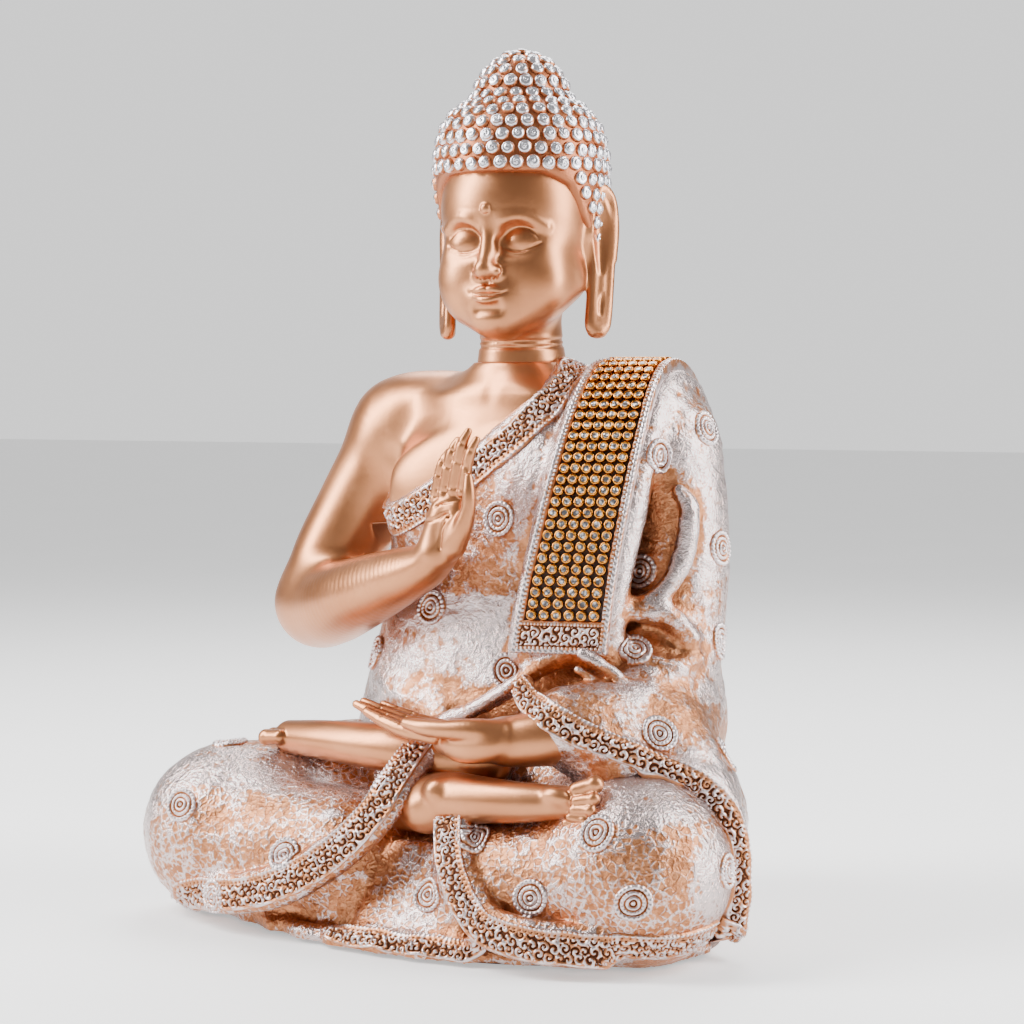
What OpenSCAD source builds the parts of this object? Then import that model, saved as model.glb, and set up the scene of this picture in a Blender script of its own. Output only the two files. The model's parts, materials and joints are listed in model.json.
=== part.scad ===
// Seated statue in lotus posture, cast in resin, with glued stone chains on its shoulder sash.
// Millimetres. Z is up, the figure faces -Y, and the origin is on the resting face under the neck.

/* [Castings] */
// Wall of the hollow body
wall = 4.5; // [4:0.25:5]
// How far the robe stands out from the bare skin
robe_t = 1.6; // [1:0.1:2]
// How far rosettes and border bands stand out from the robe
relief_t = 1; // [0.6:0.1:1.4]
// Radius of a robe rosette
rosette_r = 5.6; // [4.5:0.1:6.5]
// Radius of a hair curl at its foot
curl_r = 2.1; // [1.6:0.1:2.4]
// Height of a hair curl
curl_h = 1.5; // [1:0.1:2]

/* [Glued joints] */
// Radius of the neck tenon
neck_tenon_r = 8; // [6:0.5:9]
// Length of the neck tenon
neck_tenon_l = 11; // [8:1:13]
// Radius of the right arm's tenon
arm_tenon_r = 7; // [5:0.5:8]
// Length of the right arm's tenon
arm_tenon_l = 9; // [6:1:11]
// Radius of the lap hand's spigot
hand_spigot_r = 5; // [4:0.5:6]
// Length of the lap hand's spigot
hand_spigot_l = 9; // [6:1:11]
// Radius of the steel dowels
dowel_r = 2; // [1.5:0.25:2.5]
// Room for glue round each tenon
glue_gap = 0.3; // [0.2:0.05:0.5]
// Room for glue round each dowel
dowel_gap = 0.1; // [0.05:0.05:0.2]

/* [Base] */
// Thickness of the felt
felt_t = 1; // [0.8:0.1:1.5]
// Thickness of the board that closes the hollow
board_t = 3; // [2.5:0.5:4]
// Radius of the stopper's hole in the board
plug_r = 9; // [7:0.5:11]

/* [Sash and stone chains] */
// Thickness of the sash
sash_t = 3; // [2.6:0.2:3.6]
// Depth of the recess that holds the chains
bed_depth = 1.5; // [1.2:0.1:1.6]
// Number of chains side by side
chain_count = 6; // [6]
// Stones in one chain
stone_count = 28; // [20:1:28]
// Distance from stone to stone
pitch = 3.45; // [3.3:0.05:3.5]
// Radius of a cup
cup_r = 1.6; // [1.4:0.05:1.65]
// Height of a cup
cup_h = 1.3; // [1:0.1:1.6]

/* [Hidden] */
big = 400;             // edge of the blocks that cut planes
limb_fn = 16;          // facets round a limb
skin_tone = "#b87b4f";
robe_tone = "#c79d80";
gold_tone = "#c9922e";

// ---- shared forms ----

// A ball given as [x, y, z, radius], grown by g.
module ball(p, g = 0, fn = limb_fn)
    translate([p[0], p[1], p[2]]) sphere(r = p[3] + g, $fn = fn);

// A limb through a list of balls, each pair joined by a tapered round.
module limb(points, g = 0, fn = limb_fn)
    for (i = [0:len(points) - 2])
        hull() {
            ball(points[i], g, fn);
            ball(points[i + 1], g, fn);
        }

// A squarish oval [z, x, y, half width, half depth] as a thin plate.
oval_power = 0.82;
function bulged(v) = sign(v) * pow(abs(v), oval_power);
module slice(s, g = 0)
    translate([s[1], s[2], s[0]]) linear_extrude(0.01)
        polygon([for (a = [0:13.3334:359]) [(s[3] + g) * bulged(cos(a)), (s[4] + g) * bulged(sin(a))]]);

// A solid through a stack of ovals.
module stack(slices, g = 0)
    for (i = [0:len(slices) - 2])
        hull() {
            slice(slices[i], g);
            slice(slices[i + 1], g);
        }

function unit(v) = v / norm(v);
// The turn and shift that take +Z to direction n, with +X near side, at point p.
function frame(p, n, side) =
    let (z = unit(n), y = unit(cross(z, side)), x = cross(y, z))
    [[x[0], y[0], z[0], p[0]], [x[1], y[1], z[1], p[1]], [x[2], y[2], z[2], p[2]], [0, 0, 0, 1]];

// ---- the figure's measures, as [x, y, z, radius] or [z, x, y, half width, half depth] ----

chest_slices = [[30, -1, -1, 60, 43], [55, -1, 3, 56, 40], [78, -1, 5, 52, 37],
                [100, 0, 6, 47.5, 34], [125, 0, 5, 45, 32], [145, 0, 4, 44, 30], [158, 0, 4, 40, 26],
                [168, 0, 3, 31, 21], [175, 0, 2, 21, 17], [178, 0, 1, 15.5, 15]];
right_shoulder = [[-22, 3, 163, 14], [-46, 3, 157, 18.5]];
left_shoulder = [[22, 3, 163, 14], [46, 4, 157, 19]];
right_upper_arm = [[-46, 3, 157, 18.5], [-61, -4, 130, 14.6], [-71, -13, 99, 14.2]];
right_forearm = [[-71, -13, 99, 14.2], [-43, -30, 104, 12.5], [-8, -43, 114, 8.2]];
left_sleeve = [[46, 4, 155, 18.5], [51, 5, 120, 17.4], [51, 2, 88, 18.4], [53, -28, 66, 17],
               [47, -46, 68, 13.5]];
sleeve_drape = [[52, 0, 70, 20], [62, -22, 58, 17], [57, -44, 60, 11]];
right_leg = [[-24, -2, 32, 26], [-62, -32, 29, 28], [-82, -49, 28, 28]];
right_shin = [[-82, -49, 24, 23], [-30, -54, 24, 21]];
left_leg = [[24, -2, 32, 26], [50, -30, 30, 28], [68, -44, 29, 29]];
left_shin = [[68, -44, 24, 23], [22, -54, 22, 19]];
lap_cloth = [[-62, -20, 48, 12], [-20, -26, 56, 10], [30, -26, 50, 12]];
right_foot = [[-8, -62, 40, 12], [12, -64, 47, 10.5], [42, -62, 48, 9.5], [62, -58, 52, 6]];
left_foot = [[12, -44, 52, 10], [-20, -54, 56, 9], [-48, -54, 58, 5]];

// Outline of the hem where the statue stands, an oval with a gathered front, moved in by d.
hem_wave = 2.2;
hem_oval = [85, 56];
hem_centre = [-5, -19];
function hem(d, wave = 0) = [for (a = [0:4:356])
    let (front = max(0, -sin(a)), w = wave * pow(front, 3) * cos(a * 9))
    hem_centre + [(hem_oval[0] - d + w) * cos(a), (hem_oval[1] - d + w) * sin(a)]];

// The robe's diagonal edge: the cloth lies below both planes z = height + lean * [x, y].
edge_z = 172;
edge_front = [0.589, 0.739];
edge_back = [0.589, -0.25];
module below_plane(lean, drop = 0)
    multmatrix([[1, 0, 0, 0], [0, 1, 0, 0], [lean[0], lean[1], 1, edge_z - drop], [0, 0, 0, 1]])
        translate([-big, -big, -2 * big]) cube([2 * big, 2 * big, 2 * big]);

module robed_half(drop = 0)
    intersection() {
        below_plane(edge_front, drop);
        below_plane(edge_back, drop);
    }

// ---- body_casting: hollow torso, robe, crossed legs and left sleeve ----

module bare_torso() {
    stack(chest_slices);
    limb(right_shoulder);
    limb(left_shoulder);
}

module robed_torso(g) {
    stack(chest_slices, g);
    limb(left_shoulder, g);
}

// The cloth under each knee closes in to a smaller round on the ground.
knee_foot_r = 13;
module knee_skirt(knee, shin, g)
    hull() {
        ball(knee, g);
        translate([knee[0], knee[1], 0]) cylinder(r = knee_foot_r + g, h = 1, $fn = 20);
        translate([shin[0], shin[1], 0]) cylinder(r = knee_foot_r + g, h = 1, $fn = 20);
    }

module legs(g) {
    limb(right_leg, g);
    limb(right_shin, g);
    limb(left_leg, g);
    limb(left_shin, g);
    limb(lap_cloth, g);
    knee_skirt(right_leg[2], right_shin[1], g);
    knee_skirt(left_leg[2], left_shin[1], g);
}

module sleeve(g) {
    limb(left_sleeve, g);
    limb(sleeve_drape, g);
}

module robe(g = 0) {
    intersection() {
        robed_torso(robe_t + g);
        robed_half();
    }
    sleeve(g);
    legs(g);
    sash_fold(g);
}

// Where each rosette sits, as [x, y, z] on the axis it is cast around and the way it faces.
rosettes = [
    // chest, front
    [[14, 0, 138], [0, -1, 0]], [[-26, 0, 105], [-0.3, -1, 0]], [[12, 0, 84], [0.1, -1, 0]],
    // sleeve, front and outside
    [[50, 4, 152], [0.5, -1, 0.35]], [[52, 4, 120], [0.1, -1, 0]], [[54, 0, 95], [0.1, -1, -0.1]],
    [[50, 4, 160], [1, 0.3, 0.4]], [[54, 4, 132], [1, 0.2, 0]], [[55, 2, 104], [1, 0.2, 0]],
    [[60, -22, 58], [0.5, -1, 0.5]],
    // legs
    [[-78, -40, 30], [-0.7, -1, 0.35]], [[-60, -40, 26], [-0.1, -1, 0]], [[-60, -30, 30], [-0.2, -0.3, 1]],
    [[36, -44, 26], [-0.3, -1, -0.1]], [[66, -44, 28], [0.1, -1, 0]], [[56, -40, 30], [-0.2, -0.6, 1]],
    [[-80, -40, 28], [-1, 0.6, 0.1]], [[68, -40, 30], [1, 0.5, 0.1]],
    // back
    [[-30, 5, 130], [-0.2, 1, 0]], [[8, 5, 118], [0, 1, 0]], [[-24, 5, 84], [-0.2, 1, 0]],
    [[30, 5, 74], [0.3, 1, 0]], [[0, 5, 48], [0, 1, 0]]];

module rosette_cores()
    for (s = rosettes)
        multmatrix(frame(s[0], s[1], [0.2, 0.1, 1])) cylinder(r = rosette_r, h = 90, $fn = 10);

// A strip of width w along front-view points [x, z], seen from -Y.
function strip(points, w) =
    let (n = len(points) - 1,
         across = [for (i = [0:n])
             let (d = unit(points[min(i + 1, n)] - points[max(i - 1, 0)])) [-d[1], d[0]] * w / 2])
    concat([for (i = [0:n]) points[i] + across[i]], [for (i = [n:-1:0]) points[i] - across[i]]);

module front_strip(points, w, y0, y1)
    translate([0, y1, 0]) rotate([90, 0, 0]) linear_extrude(y1 - y0) polygon(strip(points, w));

border_w = 8.5;
right_leg_border = [[0, 57], [0, 44], [-5, 30], [-18, 17], [-40, 8.5], [-72, 6]];
left_leg_border = [[16, 37], [21, 22], [34, 11], [52, 6.5], [78, 5]];

module leg_borders() {
    front_strip(right_leg_border, border_w, -110, -45);
    front_strip(left_leg_border, border_w, -110, -45);
}

module chest_border()
    difference() {
        robed_half();
        robed_half(border_w * 1.25);
    }

module relief() {
    intersection() {
        union() {
            legs(relief_t);
            sleeve(relief_t);
            intersection() {
                robed_torso(robe_t + relief_t);
                robed_half();
            }
        }
        union() {
            rosette_cores();
            leg_borders();
        }
    }
    intersection() {
        robed_torso(robe_t + relief_t);
        chest_border();
    }
}

// The cloth spreads from the seat to the gathered hem.
skirt_slices = [[2, -5, -19, 83, 54], [16, -4, -14, 74, 50], [36, -2, -4, 61, 44]];
module hem_skirt() {
    linear_extrude(4) polygon(hem(0, hem_wave));
    stack(skirt_slices);
}

module feet() {
    limb(right_foot);
    limb(left_foot);
}

// The hollow, one wall inside the outer forms.
module hollow() {
    linear_extrude(16) polygon(hem(4 * wall));
    stack([for (s = chest_slices) if (s[0] < 145) s], -wall - 1);
    limb(right_leg, -wall, 10);
    limb(right_shin, -wall, 10);
    limb(left_leg, -wall, 10);
    limb(left_shin, -wall, 10);
}

// ---- glued joints: a tenon or spigot with a steel dowel through it ----

neck_cut_z = 178;     // the plane where the head is glued on
neck_y = 1;
neck_dowel_z = [152, 202];
shoulder_cut_x = -42; // the plane where the right arm is glued on
arm_joint = [shoulder_cut_x, 3, 158];
arm_dowel_in = 20;    // how far the dowel reaches into the body
arm_dowel_out = 14;   // and into the arm
lap_wrist = [36, -57, 67];
lap_arm_way = unit([48, -44, 68.5] - lap_wrist);
hand_joint = lap_wrist + 6 * lap_arm_way;
hand_dowel_in = 14;
hand_dowel_out = 12;
hand_dowel_r = 1;

// A round from the arm's or the lap hand's joint, from s0 to s1 into the body.
module arm_round(r, s0, s1)
    multmatrix(frame(arm_joint + [s0, 0, 0], [1, 0, 0], [0, 0, 1])) cylinder(r = r, h = s1 - s0, $fn = 32);
module hand_round(r, s0, s1)
    multmatrix(frame(hand_joint + s0 * lap_arm_way, lap_arm_way, [0, 0, 1]))
        cylinder(r = r, h = s1 - s0, $fn = 24);
module neck_round(r, z0, z1)
    translate([0, neck_y, z0]) cylinder(r = r, h = z1 - z0, $fn = 32);

module body_casting()
    color(robe_tone) difference() {
        union() {
            bare_torso();
            robe();
            relief();
            feet();
            hem_skirt();
        }
        translate([-big, -big, -2 * big + felt_t]) cube(2 * big);
        translate([shoulder_cut_x - big, -big / 2, 100]) cube([big, big, 100]);
        translate([-big / 2, -big / 2, neck_cut_z]) cube(big);
        hollow();
        linear_extrude(felt_t + board_t) polygon(hem(wall));
        neck_round(neck_tenon_r + glue_gap, neck_cut_z - neck_tenon_l - glue_gap, neck_cut_z + 1);
        neck_round(dowel_r + dowel_gap, neck_dowel_z[0] - dowel_gap, neck_cut_z);
        arm_round(arm_tenon_r + glue_gap, -1, arm_tenon_l + glue_gap);
        arm_round(dowel_r + dowel_gap, -1, arm_dowel_in + dowel_gap);
        lap_hand(glue_gap);
        hand_round(hand_spigot_r + glue_gap, 0, hand_spigot_l + glue_gap);
        hand_round(hand_dowel_r + dowel_gap, 0, hand_dowel_in + dowel_gap);
        sash_seat();
    }

// ---- head_casting: neck, face, ears, curls and the crown bump ----

skull = [[0, -1, 238, 26.2], [0, -5, 215, 21]];
jaw = [[0, -9, 214, 17.6], [0, -13.5, 203, 13]];
neck = [[0, 1, 170, 14.6], [0, 0, 193, 13.4], [0, -2, 208, 14]];
ear = [[26.5, 1, 226, 3.2], [27.5, 0, 212, 2.4], [25.5, -1, 193, 3.2]];
nose = [[0, -23.5, 222, 2.2], [0, -27, 210, 2.8]];
mouth = [[-4.5, -24.4, 201.6, 1.5], [0, -25.8, 201, 1.9], [4.5, -24.4, 201.6, 1.5]];
eye = [[6, -19.6, 217.5, 4.2], [12.5, -16.8, 217.5, 4.2]];
function mirrored(points) = [for (p = points) [-p[0], p[1], p[2], p[3]]];

hair_front_z = 238;
hair_back_z = 198;
hair_centre_y = 0.5;
hair_lean = 0.74;  // rise of the cap's cut for a level one, from nape to brow
// Radius of the hair at a height, without the curls.
hair_top_z = 277.6;
hair_profile = [[196, 17], [206, 22.5], [218, 25.6], [232, 27.2], [242, 27], [249, 24.8], [255, 20.6],
                [259, 15.4], [263, 13.6], [269, 11.6], [274, 7.6], [hair_top_z, 0.5]];
function hair_r(z) = lookup(z, hair_profile);
// Height of the hairline at angle a from the face's middle.
function hairline(a) = (hair_front_z + hair_back_z) / 2 + (hair_front_z - hair_back_z) / 2 * cos(a);
// How much the hair's surface faces up, for a level one unit out.
function hair_slope(z) = max(-0.3, (hair_r(z - 2) - hair_r(min(hair_top_z, z + 2))) / 4);

// Rings of curls, as [z, how many].
curl_rings = [[203, 20], [209, 23], [215, 25], [221, 26], [227, 27], [233, 27], [239, 27], [244.8, 26],
              [249.8, 23], [254, 20], [258, 16], [262.6, 14], [267.2, 12], [271.4, 9], [274.8, 6]];

module curl(z, a)
    multmatrix(frame([hair_r(z) * sin(a), hair_centre_y - hair_r(z) * cos(a), z],
        [sin(a), -cos(a), hair_slope(z)], [0, 0.1, 1]))
        translate([0, 0, -1]) cylinder(r1 = curl_r, r2 = curl_r * 0.45, h = curl_h + 1, $fn = 4);

module curls() {
    for (k = [0:len(curl_rings) - 1], i = [0:curl_rings[k][1] - 1])
        let (z = curl_rings[k][0], a = 360 * (i + (k % 2) / 2) / curl_rings[k][1])
        if (z > hairline(a) + curl_r * 0.6) curl(z, a);
    translate([0, hair_centre_y, hair_top_z - 0.6])
        cylinder(r1 = curl_r, r2 = curl_r * 0.45, h = curl_h + 0.6, $fn = 5);
}

module hair_cap()
    intersection() {
        translate([0, hair_centre_y, 0]) rotate_extrude($fn = 36)
            polygon(concat([[0, hair_profile[0][0]]], [for (p = hair_profile) [p[1], p[0]]],
                [[0, hair_top_z]]));
        multmatrix([[1, 0, 0, 0], [0, 1, 0, 0], [0, -hair_lean, 1, hairline(90)], [0, 0, 0, 1]])
            translate([-big / 2, -big / 2, 0]) cube(big);
    }

module head_casting()
    color(skin_tone) difference() {
        union() {
            difference() {
                union() {
                    limb(skull);
                    limb(jaw);
                    limb(neck);
                    hair_cap();
                    limb(ear);
                    limb(mirrored(ear));
                    limb(nose, 0, 16);
                    limb(mouth, 0, 14);
                    limb(eye, 0, 16);
                    limb(mirrored(eye), 0, 16);
                    ball([0, -26.2, 227, 1.5], 0, 14);
                    curls();
                }
                translate([-big / 2, -big / 2, neck_cut_z - big]) cube(big);
            }
            neck_round(neck_tenon_r, neck_cut_z - neck_tenon_l, neck_cut_z + 1);
        }
        neck_round(dowel_r + dowel_gap, 0, neck_dowel_z[1] + dowel_gap);
    }

// ---- right_arm_casting: upper arm, forearm and raised hand ----

// Fingers as [root, joint, tip] balls, from the little finger to the index finger.
raised_palm = [[-7, -43, 115, 7.4], [-2, -44, 124, 5], [6, -44.5, 126, 4.6],
               [-3, -44, 138, 4.4], [8, -44.5, 138, 4.2]];
raised_fingers = [[[-4.4, -44.5, 139, 2.5], [-3.4, -45, 146, 2.2], [-0.8, -44.5, 152, 1.6]],
                  [[-0.6, -45, 140, 2.7], [0.8, -45.5, 149, 2.3], [3.6, -44.5, 157, 1.7]],
                  [[3.4, -45, 140, 2.7], [4.8, -45.5, 150, 2.3], [7.2, -44.5, 159, 1.7]],
                  [[7.4, -45, 139, 2.6], [8.4, -45.5, 148, 2.2], [10, -44.5, 156, 1.6]]];
raised_thumb = [[8, -46, 126, 4.2], [11.2, -47.5, 135, 2.8], [11.4, -47, 144, 2]];

module raised_hand() {
    hull() for (p = raised_palm) ball(p, 0, 12);
    for (f = raised_fingers) limb(f, 0, 8);
    limb(raised_thumb, 0, 8);
}

module right_arm_casting()
    color(skin_tone) difference() {
        union() {
            intersection() {
                union() {
                    limb(right_shoulder);
                    limb(right_upper_arm);
                }
                translate([shoulder_cut_x - big, -big / 2, 0]) cube([big, big, big]);
            }
            limb(right_forearm);
            raised_hand();
            arm_round(arm_tenon_r, -1, arm_tenon_l);
        }
        arm_round(dowel_r + dowel_gap, -arm_dowel_out - dowel_gap, arm_tenon_l + 1);
    }

// ---- lap_hand_casting: left hand, palm up, glued into the sleeve ----

lap_palm = [[33, -57.5, 67, 7], [24, -60, 66.5, 6.5], [14, -57, 67.5, 4.4], [14, -66, 66, 4.4]];
lap_fingers = [[[14, -67, 66.4, 2.6], [2, -66.5, 67.4, 2.3], [-8, -64, 69, 1.6]],
               [[14, -63.4, 67, 2.7], [1, -63, 68, 2.4], [-11, -61.5, 69.8, 1.7]],
               [[14, -59.6, 67.6, 2.7], [1, -59.4, 68.4, 2.3], [-10, -58.6, 70, 1.7]],
               [[14, -56, 68, 2.5], [3, -56, 68.8, 2.1], [-6, -55.8, 70, 1.5]]];
lap_thumb = [[26, -62, 69.5, 4], [16, -65.5, 71.5, 2.9], [7, -66, 72, 2]];

module lap_hand(g) {
    hull() for (p = lap_palm) ball(p, g, 12);
    hull() {
        ball(concat(lap_wrist, 7.4), g);
        ball(concat(hand_joint, 7), g);
    }
    for (f = lap_fingers) limb(f, g, 8);
    limb(lap_thumb, g, 8);
}

module lap_hand_casting()
    color(skin_tone) difference() {
        union() {
            lap_hand(0);
            hand_round(hand_spigot_r, 0, hand_spigot_l);
        }
        hand_round(hand_dowel_r + dowel_gap, -hand_dowel_out, hand_spigot_l + 1);
    }

// ---- dowels ----

module neck_dowel()
    color("silver") neck_round(dowel_r, neck_dowel_z[0], neck_dowel_z[1]);

module arm_dowel()
    color("silver") arm_round(dowel_r, -arm_dowel_out, arm_dowel_in);

module hand_dowel()
    color("silver") hand_round(hand_dowel_r, dowel_gap - hand_dowel_out, hand_dowel_in);

// ---- shoulder_sash: a cast strip with a recess, over the left shoulder ----

// Middle of the strip's back face as [x, y, z], from its lower end up the chest and over the shoulder.
sash_line = [[37, -37, 90], [38.6, -36.8, 101], [40.4, -35.2, 115], [42.2, -32, 130], [43.6, -27.6, 145],
             [44.2, -21.6, 158], [44, -14, 169], [43, -4.5, 175.5], [42.5, 6, 176.5], [42, 16, 172],
             [41, 24, 163], [39.5, 29.5, 150], [38, 32.5, 137]];
sash_w0 = 30;  // width at the lower end
sash_w1 = 24;  // width over the shoulder
sash_side = unit([1, 0.28, 0]);
frame_w = 2.6;   // the raised frame beside the recess
end_panel = 10;  // the plain panel below the recess
sash_lengths = [for (i = 0, s = 0; i < len(sash_line);
    s = s + (i < len(sash_line) - 1 ? norm(sash_line[i + 1] - sash_line[i]) : 0), i = i + 1) s];
function sash_index(s) = max([0, for (i = [0:len(sash_line) - 2]) if (sash_lengths[i] <= s) i]);
// A point of the strip's line, s along it, with its direction.
function sash_tangent(i) = unit(sash_line[min(i + 1, len(sash_line) - 1)] - sash_line[max(i - 1, 0)]);
function sash_place(s) =
    let (i = sash_index(s), span = sash_lengths[i + 1] - sash_lengths[i], t = (s - sash_lengths[i]) / span,
         h = t * t * (3 - 2 * t), a = sash_tangent(i), b = sash_tangent(i + 1),
         bulge = span * (t * (1 - t) * (1 - t) * a - t * t * (1 - t) * b))
    [(1 - h) * sash_line[i] + h * sash_line[i + 1] + bulge, unit((1 - t) * a + t * b)];
sash_length = sash_lengths[len(sash_line) - 1];
bed_start = end_panel;
bed_end = bed_start + stone_count * pitch + 1;
function sash_width(s) = sash_w0 + (sash_w1 - sash_w0) * min(1, s / bed_end);
function sash_out(s) = unit(cross(sash_side, sash_place(s)[1]));

// A bar swept along the strip from s0 to s1, inset from its sides, between heights h0 and h1.
function sweep_ring(s, inset, h0, h1) =
    let (p = sash_place(s)[0], n = sash_out(s), across = (sash_width(s) / 2 - inset) * sash_side)
    [p - across + h0 * n, p + across + h0 * n, p + across + h1 * n, p - across + h1 * n];

module sash_sweep(s0, s1, inset, h0, h1, steps = 22) {
    rings = [for (i = [0:steps]) each sweep_ring(s0 + (s1 - s0) * i / steps, inset, h0, h1)];
    walls = [for (i = [0:steps - 1], k = [0:3])
        let (a = 4 * i + k, b = 4 * i + (k + 1) % 4) each [[a, b, b + 4], [a, b + 4, a + 4]]];
    polyhedron(rings, concat([[3, 2, 1], [3, 1, 0]], walls,
        [[4 * steps, 4 * steps + 1, 4 * steps + 2], [4 * steps, 4 * steps + 2, 4 * steps + 3]]));
}

module shoulder_sash()
    color(robe_tone) difference() {
        sash_sweep(0, sash_length - 0.1, 0, 0, sash_t);
        sash_sweep(bed_start, bed_end, frame_w, sash_t - bed_depth, sash_t + 3);
    }

// The folded cloth that the sash lies on.
module sash_fold(g)
    sash_sweep(2, sash_length - 2, 1.2 - g, -13, 0, 12);

module sash_seat()
    sash_sweep(-0.2, sash_length + 0.2, -0.2, -0.05, sash_t + 12);

bed_t = 0.4;
module stone_bed()
    let (floor_h = sash_t - bed_depth)
    color("#3a2416") sash_sweep(bed_start + 0.2, bed_end - 0.2, frame_w + 0.15, floor_h, floor_h + bed_t);

// ---- stone chains ----

stone_seat = 0.6;          // depth of the stone's seat in the cup
stone_r = cup_r - 0.3;
chain_gap = 0.06;
link_t = 0.4;
// Each chain lies a little higher or lower than its neighbour.
chain_shift = [0, 0.9, 0.2, 1, 0.4, 0.8];
function chain_side(j, s) = (j - (chain_count + 1) / 2) * (sash_width(s) - 2 * frame_w - 0.6) / chain_count;
function stone_s(j, i) = bed_start + pitch * (i + 0.5) + 0.1 * chain_shift[j - 1];
function cup_frame(j, i, lift) =
    let (s = stone_s(j, i), n = sash_out(s), height = sash_t - bed_depth + bed_t + lift)
    frame(sash_place(s)[0] + chain_side(j, s) * sash_side + height * n, n, sash_side);
function cup_foot(j, i) = [for (k = [0:2]) cup_frame(j, i, 0.25)[k][3]];

module cup()
    difference() {
        cylinder(r = cup_r, h = cup_h, $fn = 24);
        translate([0, 0, cup_h - stone_seat]) cylinder(r = stone_r + 0.05, h = 2, $fn = 24);
    }

module rhinestone() {
    cylinder(r = stone_r, h = stone_seat, $fn = 24);
    translate([0, 0, stone_seat]) cylinder(r1 = stone_r, r2 = stone_r * 0.55, h = 0.5, $fn = 24);
}

module cup_chain(j)
    color(gold_tone) {
        for (i = [0:stone_count - 1]) multmatrix(cup_frame(j, i, chain_gap)) cup();
        for (i = [0:stone_count - 2])
            let (a = cup_foot(j, i), b = cup_foot(j, i + 1), way = unit(b - a))
            multmatrix(frame(a + (cup_r - 0.5) * way, way, sash_side))
                translate([-link_t / 2, -link_t / 2, 0]) cube([link_t, link_t, norm(b - a) - 2 * cup_r + 1]);
    }

module rhinestones(j)
    color([0.92, 0.95, 1]) for (i = [0:stone_count - 1])
        multmatrix(cup_frame(j, i, chain_gap + cup_h - stone_seat + 0.02)) rhinestone();

// ---- base: board, stopper and felt ----

board_gap = 0.3;
flange_h = 1.2;   // the stopper's flange, let into the board's underside
flange_w = 2;
plug_gap = 0.05;
plug_at = [-6, -34];

module plug_round(r, z0, z1)
    translate([plug_at[0], plug_at[1], z0]) cylinder(r = r, h = z1 - z0, $fn = 64);

module base_board()
    color("#a9855c") difference() {
        translate([0, 0, felt_t]) linear_extrude(board_t - 0.1) polygon(hem(wall + board_gap));
        plug_round(plug_r, 0, 20);
        plug_round(plug_r + flange_w + 0.1, 0, felt_t + flange_h);
    }

module base_plug()
    color("#2b2b2b") {
        plug_round(plug_r + flange_w, felt_t, felt_t + flange_h - plug_gap);
        plug_round(plug_r - plug_gap, felt_t, felt_t + board_t + 3);
    }

module base_felt()
    color("#4a2a1c") difference() {
        linear_extrude(felt_t) polygon(hem(1.5));
        plug_round(plug_r + flange_w + 1, -1, 9);
    }

body_casting();
head_casting();
right_arm_casting();
lap_hand_casting();
shoulder_sash();
neck_dowel();
arm_dowel();
hand_dowel();
stone_bed();
for (j = [1:chain_count]) cup_chain(j);
for (j = [1:chain_count]) rhinestones(j);
base_board();
base_plug();
base_felt();
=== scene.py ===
import json
import math

import bpy
import numpy as np
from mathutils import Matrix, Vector
from mathutils.bvhtree import BVHTree

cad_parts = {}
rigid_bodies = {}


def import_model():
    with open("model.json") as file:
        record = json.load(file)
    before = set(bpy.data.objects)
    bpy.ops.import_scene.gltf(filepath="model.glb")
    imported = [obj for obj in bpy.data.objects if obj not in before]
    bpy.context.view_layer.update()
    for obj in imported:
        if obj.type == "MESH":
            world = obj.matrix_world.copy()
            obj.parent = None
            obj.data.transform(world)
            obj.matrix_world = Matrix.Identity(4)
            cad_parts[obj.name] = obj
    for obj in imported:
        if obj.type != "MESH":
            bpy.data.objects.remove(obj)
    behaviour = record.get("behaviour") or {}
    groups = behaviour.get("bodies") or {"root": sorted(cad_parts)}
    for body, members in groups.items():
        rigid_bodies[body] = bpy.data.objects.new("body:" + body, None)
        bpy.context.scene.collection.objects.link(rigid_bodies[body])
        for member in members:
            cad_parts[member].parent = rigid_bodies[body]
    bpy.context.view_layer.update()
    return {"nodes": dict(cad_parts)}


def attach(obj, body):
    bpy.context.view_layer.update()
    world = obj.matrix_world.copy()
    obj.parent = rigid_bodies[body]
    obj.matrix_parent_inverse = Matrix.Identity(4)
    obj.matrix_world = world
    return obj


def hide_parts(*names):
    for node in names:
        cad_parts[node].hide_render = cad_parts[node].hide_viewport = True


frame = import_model()


# ---- Base: board, stopper and felt -------------------------------------------------------------
# The hollow casting is closed from below by a fibre board with a rubber stopper in its filling
# hole, and brown felt is glued over both. All three keep the shapes they are cut to.

def new_material(name, colour, metallic, roughness):
    """A material with its shader, ready for more nodes."""
    material = bpy.data.materials.new(name)
    material.use_nodes = True
    shader = material.node_tree.nodes["Principled BSDF"]
    shader.inputs["Base Color"].default_value = (*colour, 1)
    shader.inputs["Metallic"].default_value = metallic
    shader.inputs["Roughness"].default_value = roughness
    return material, shader


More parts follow.
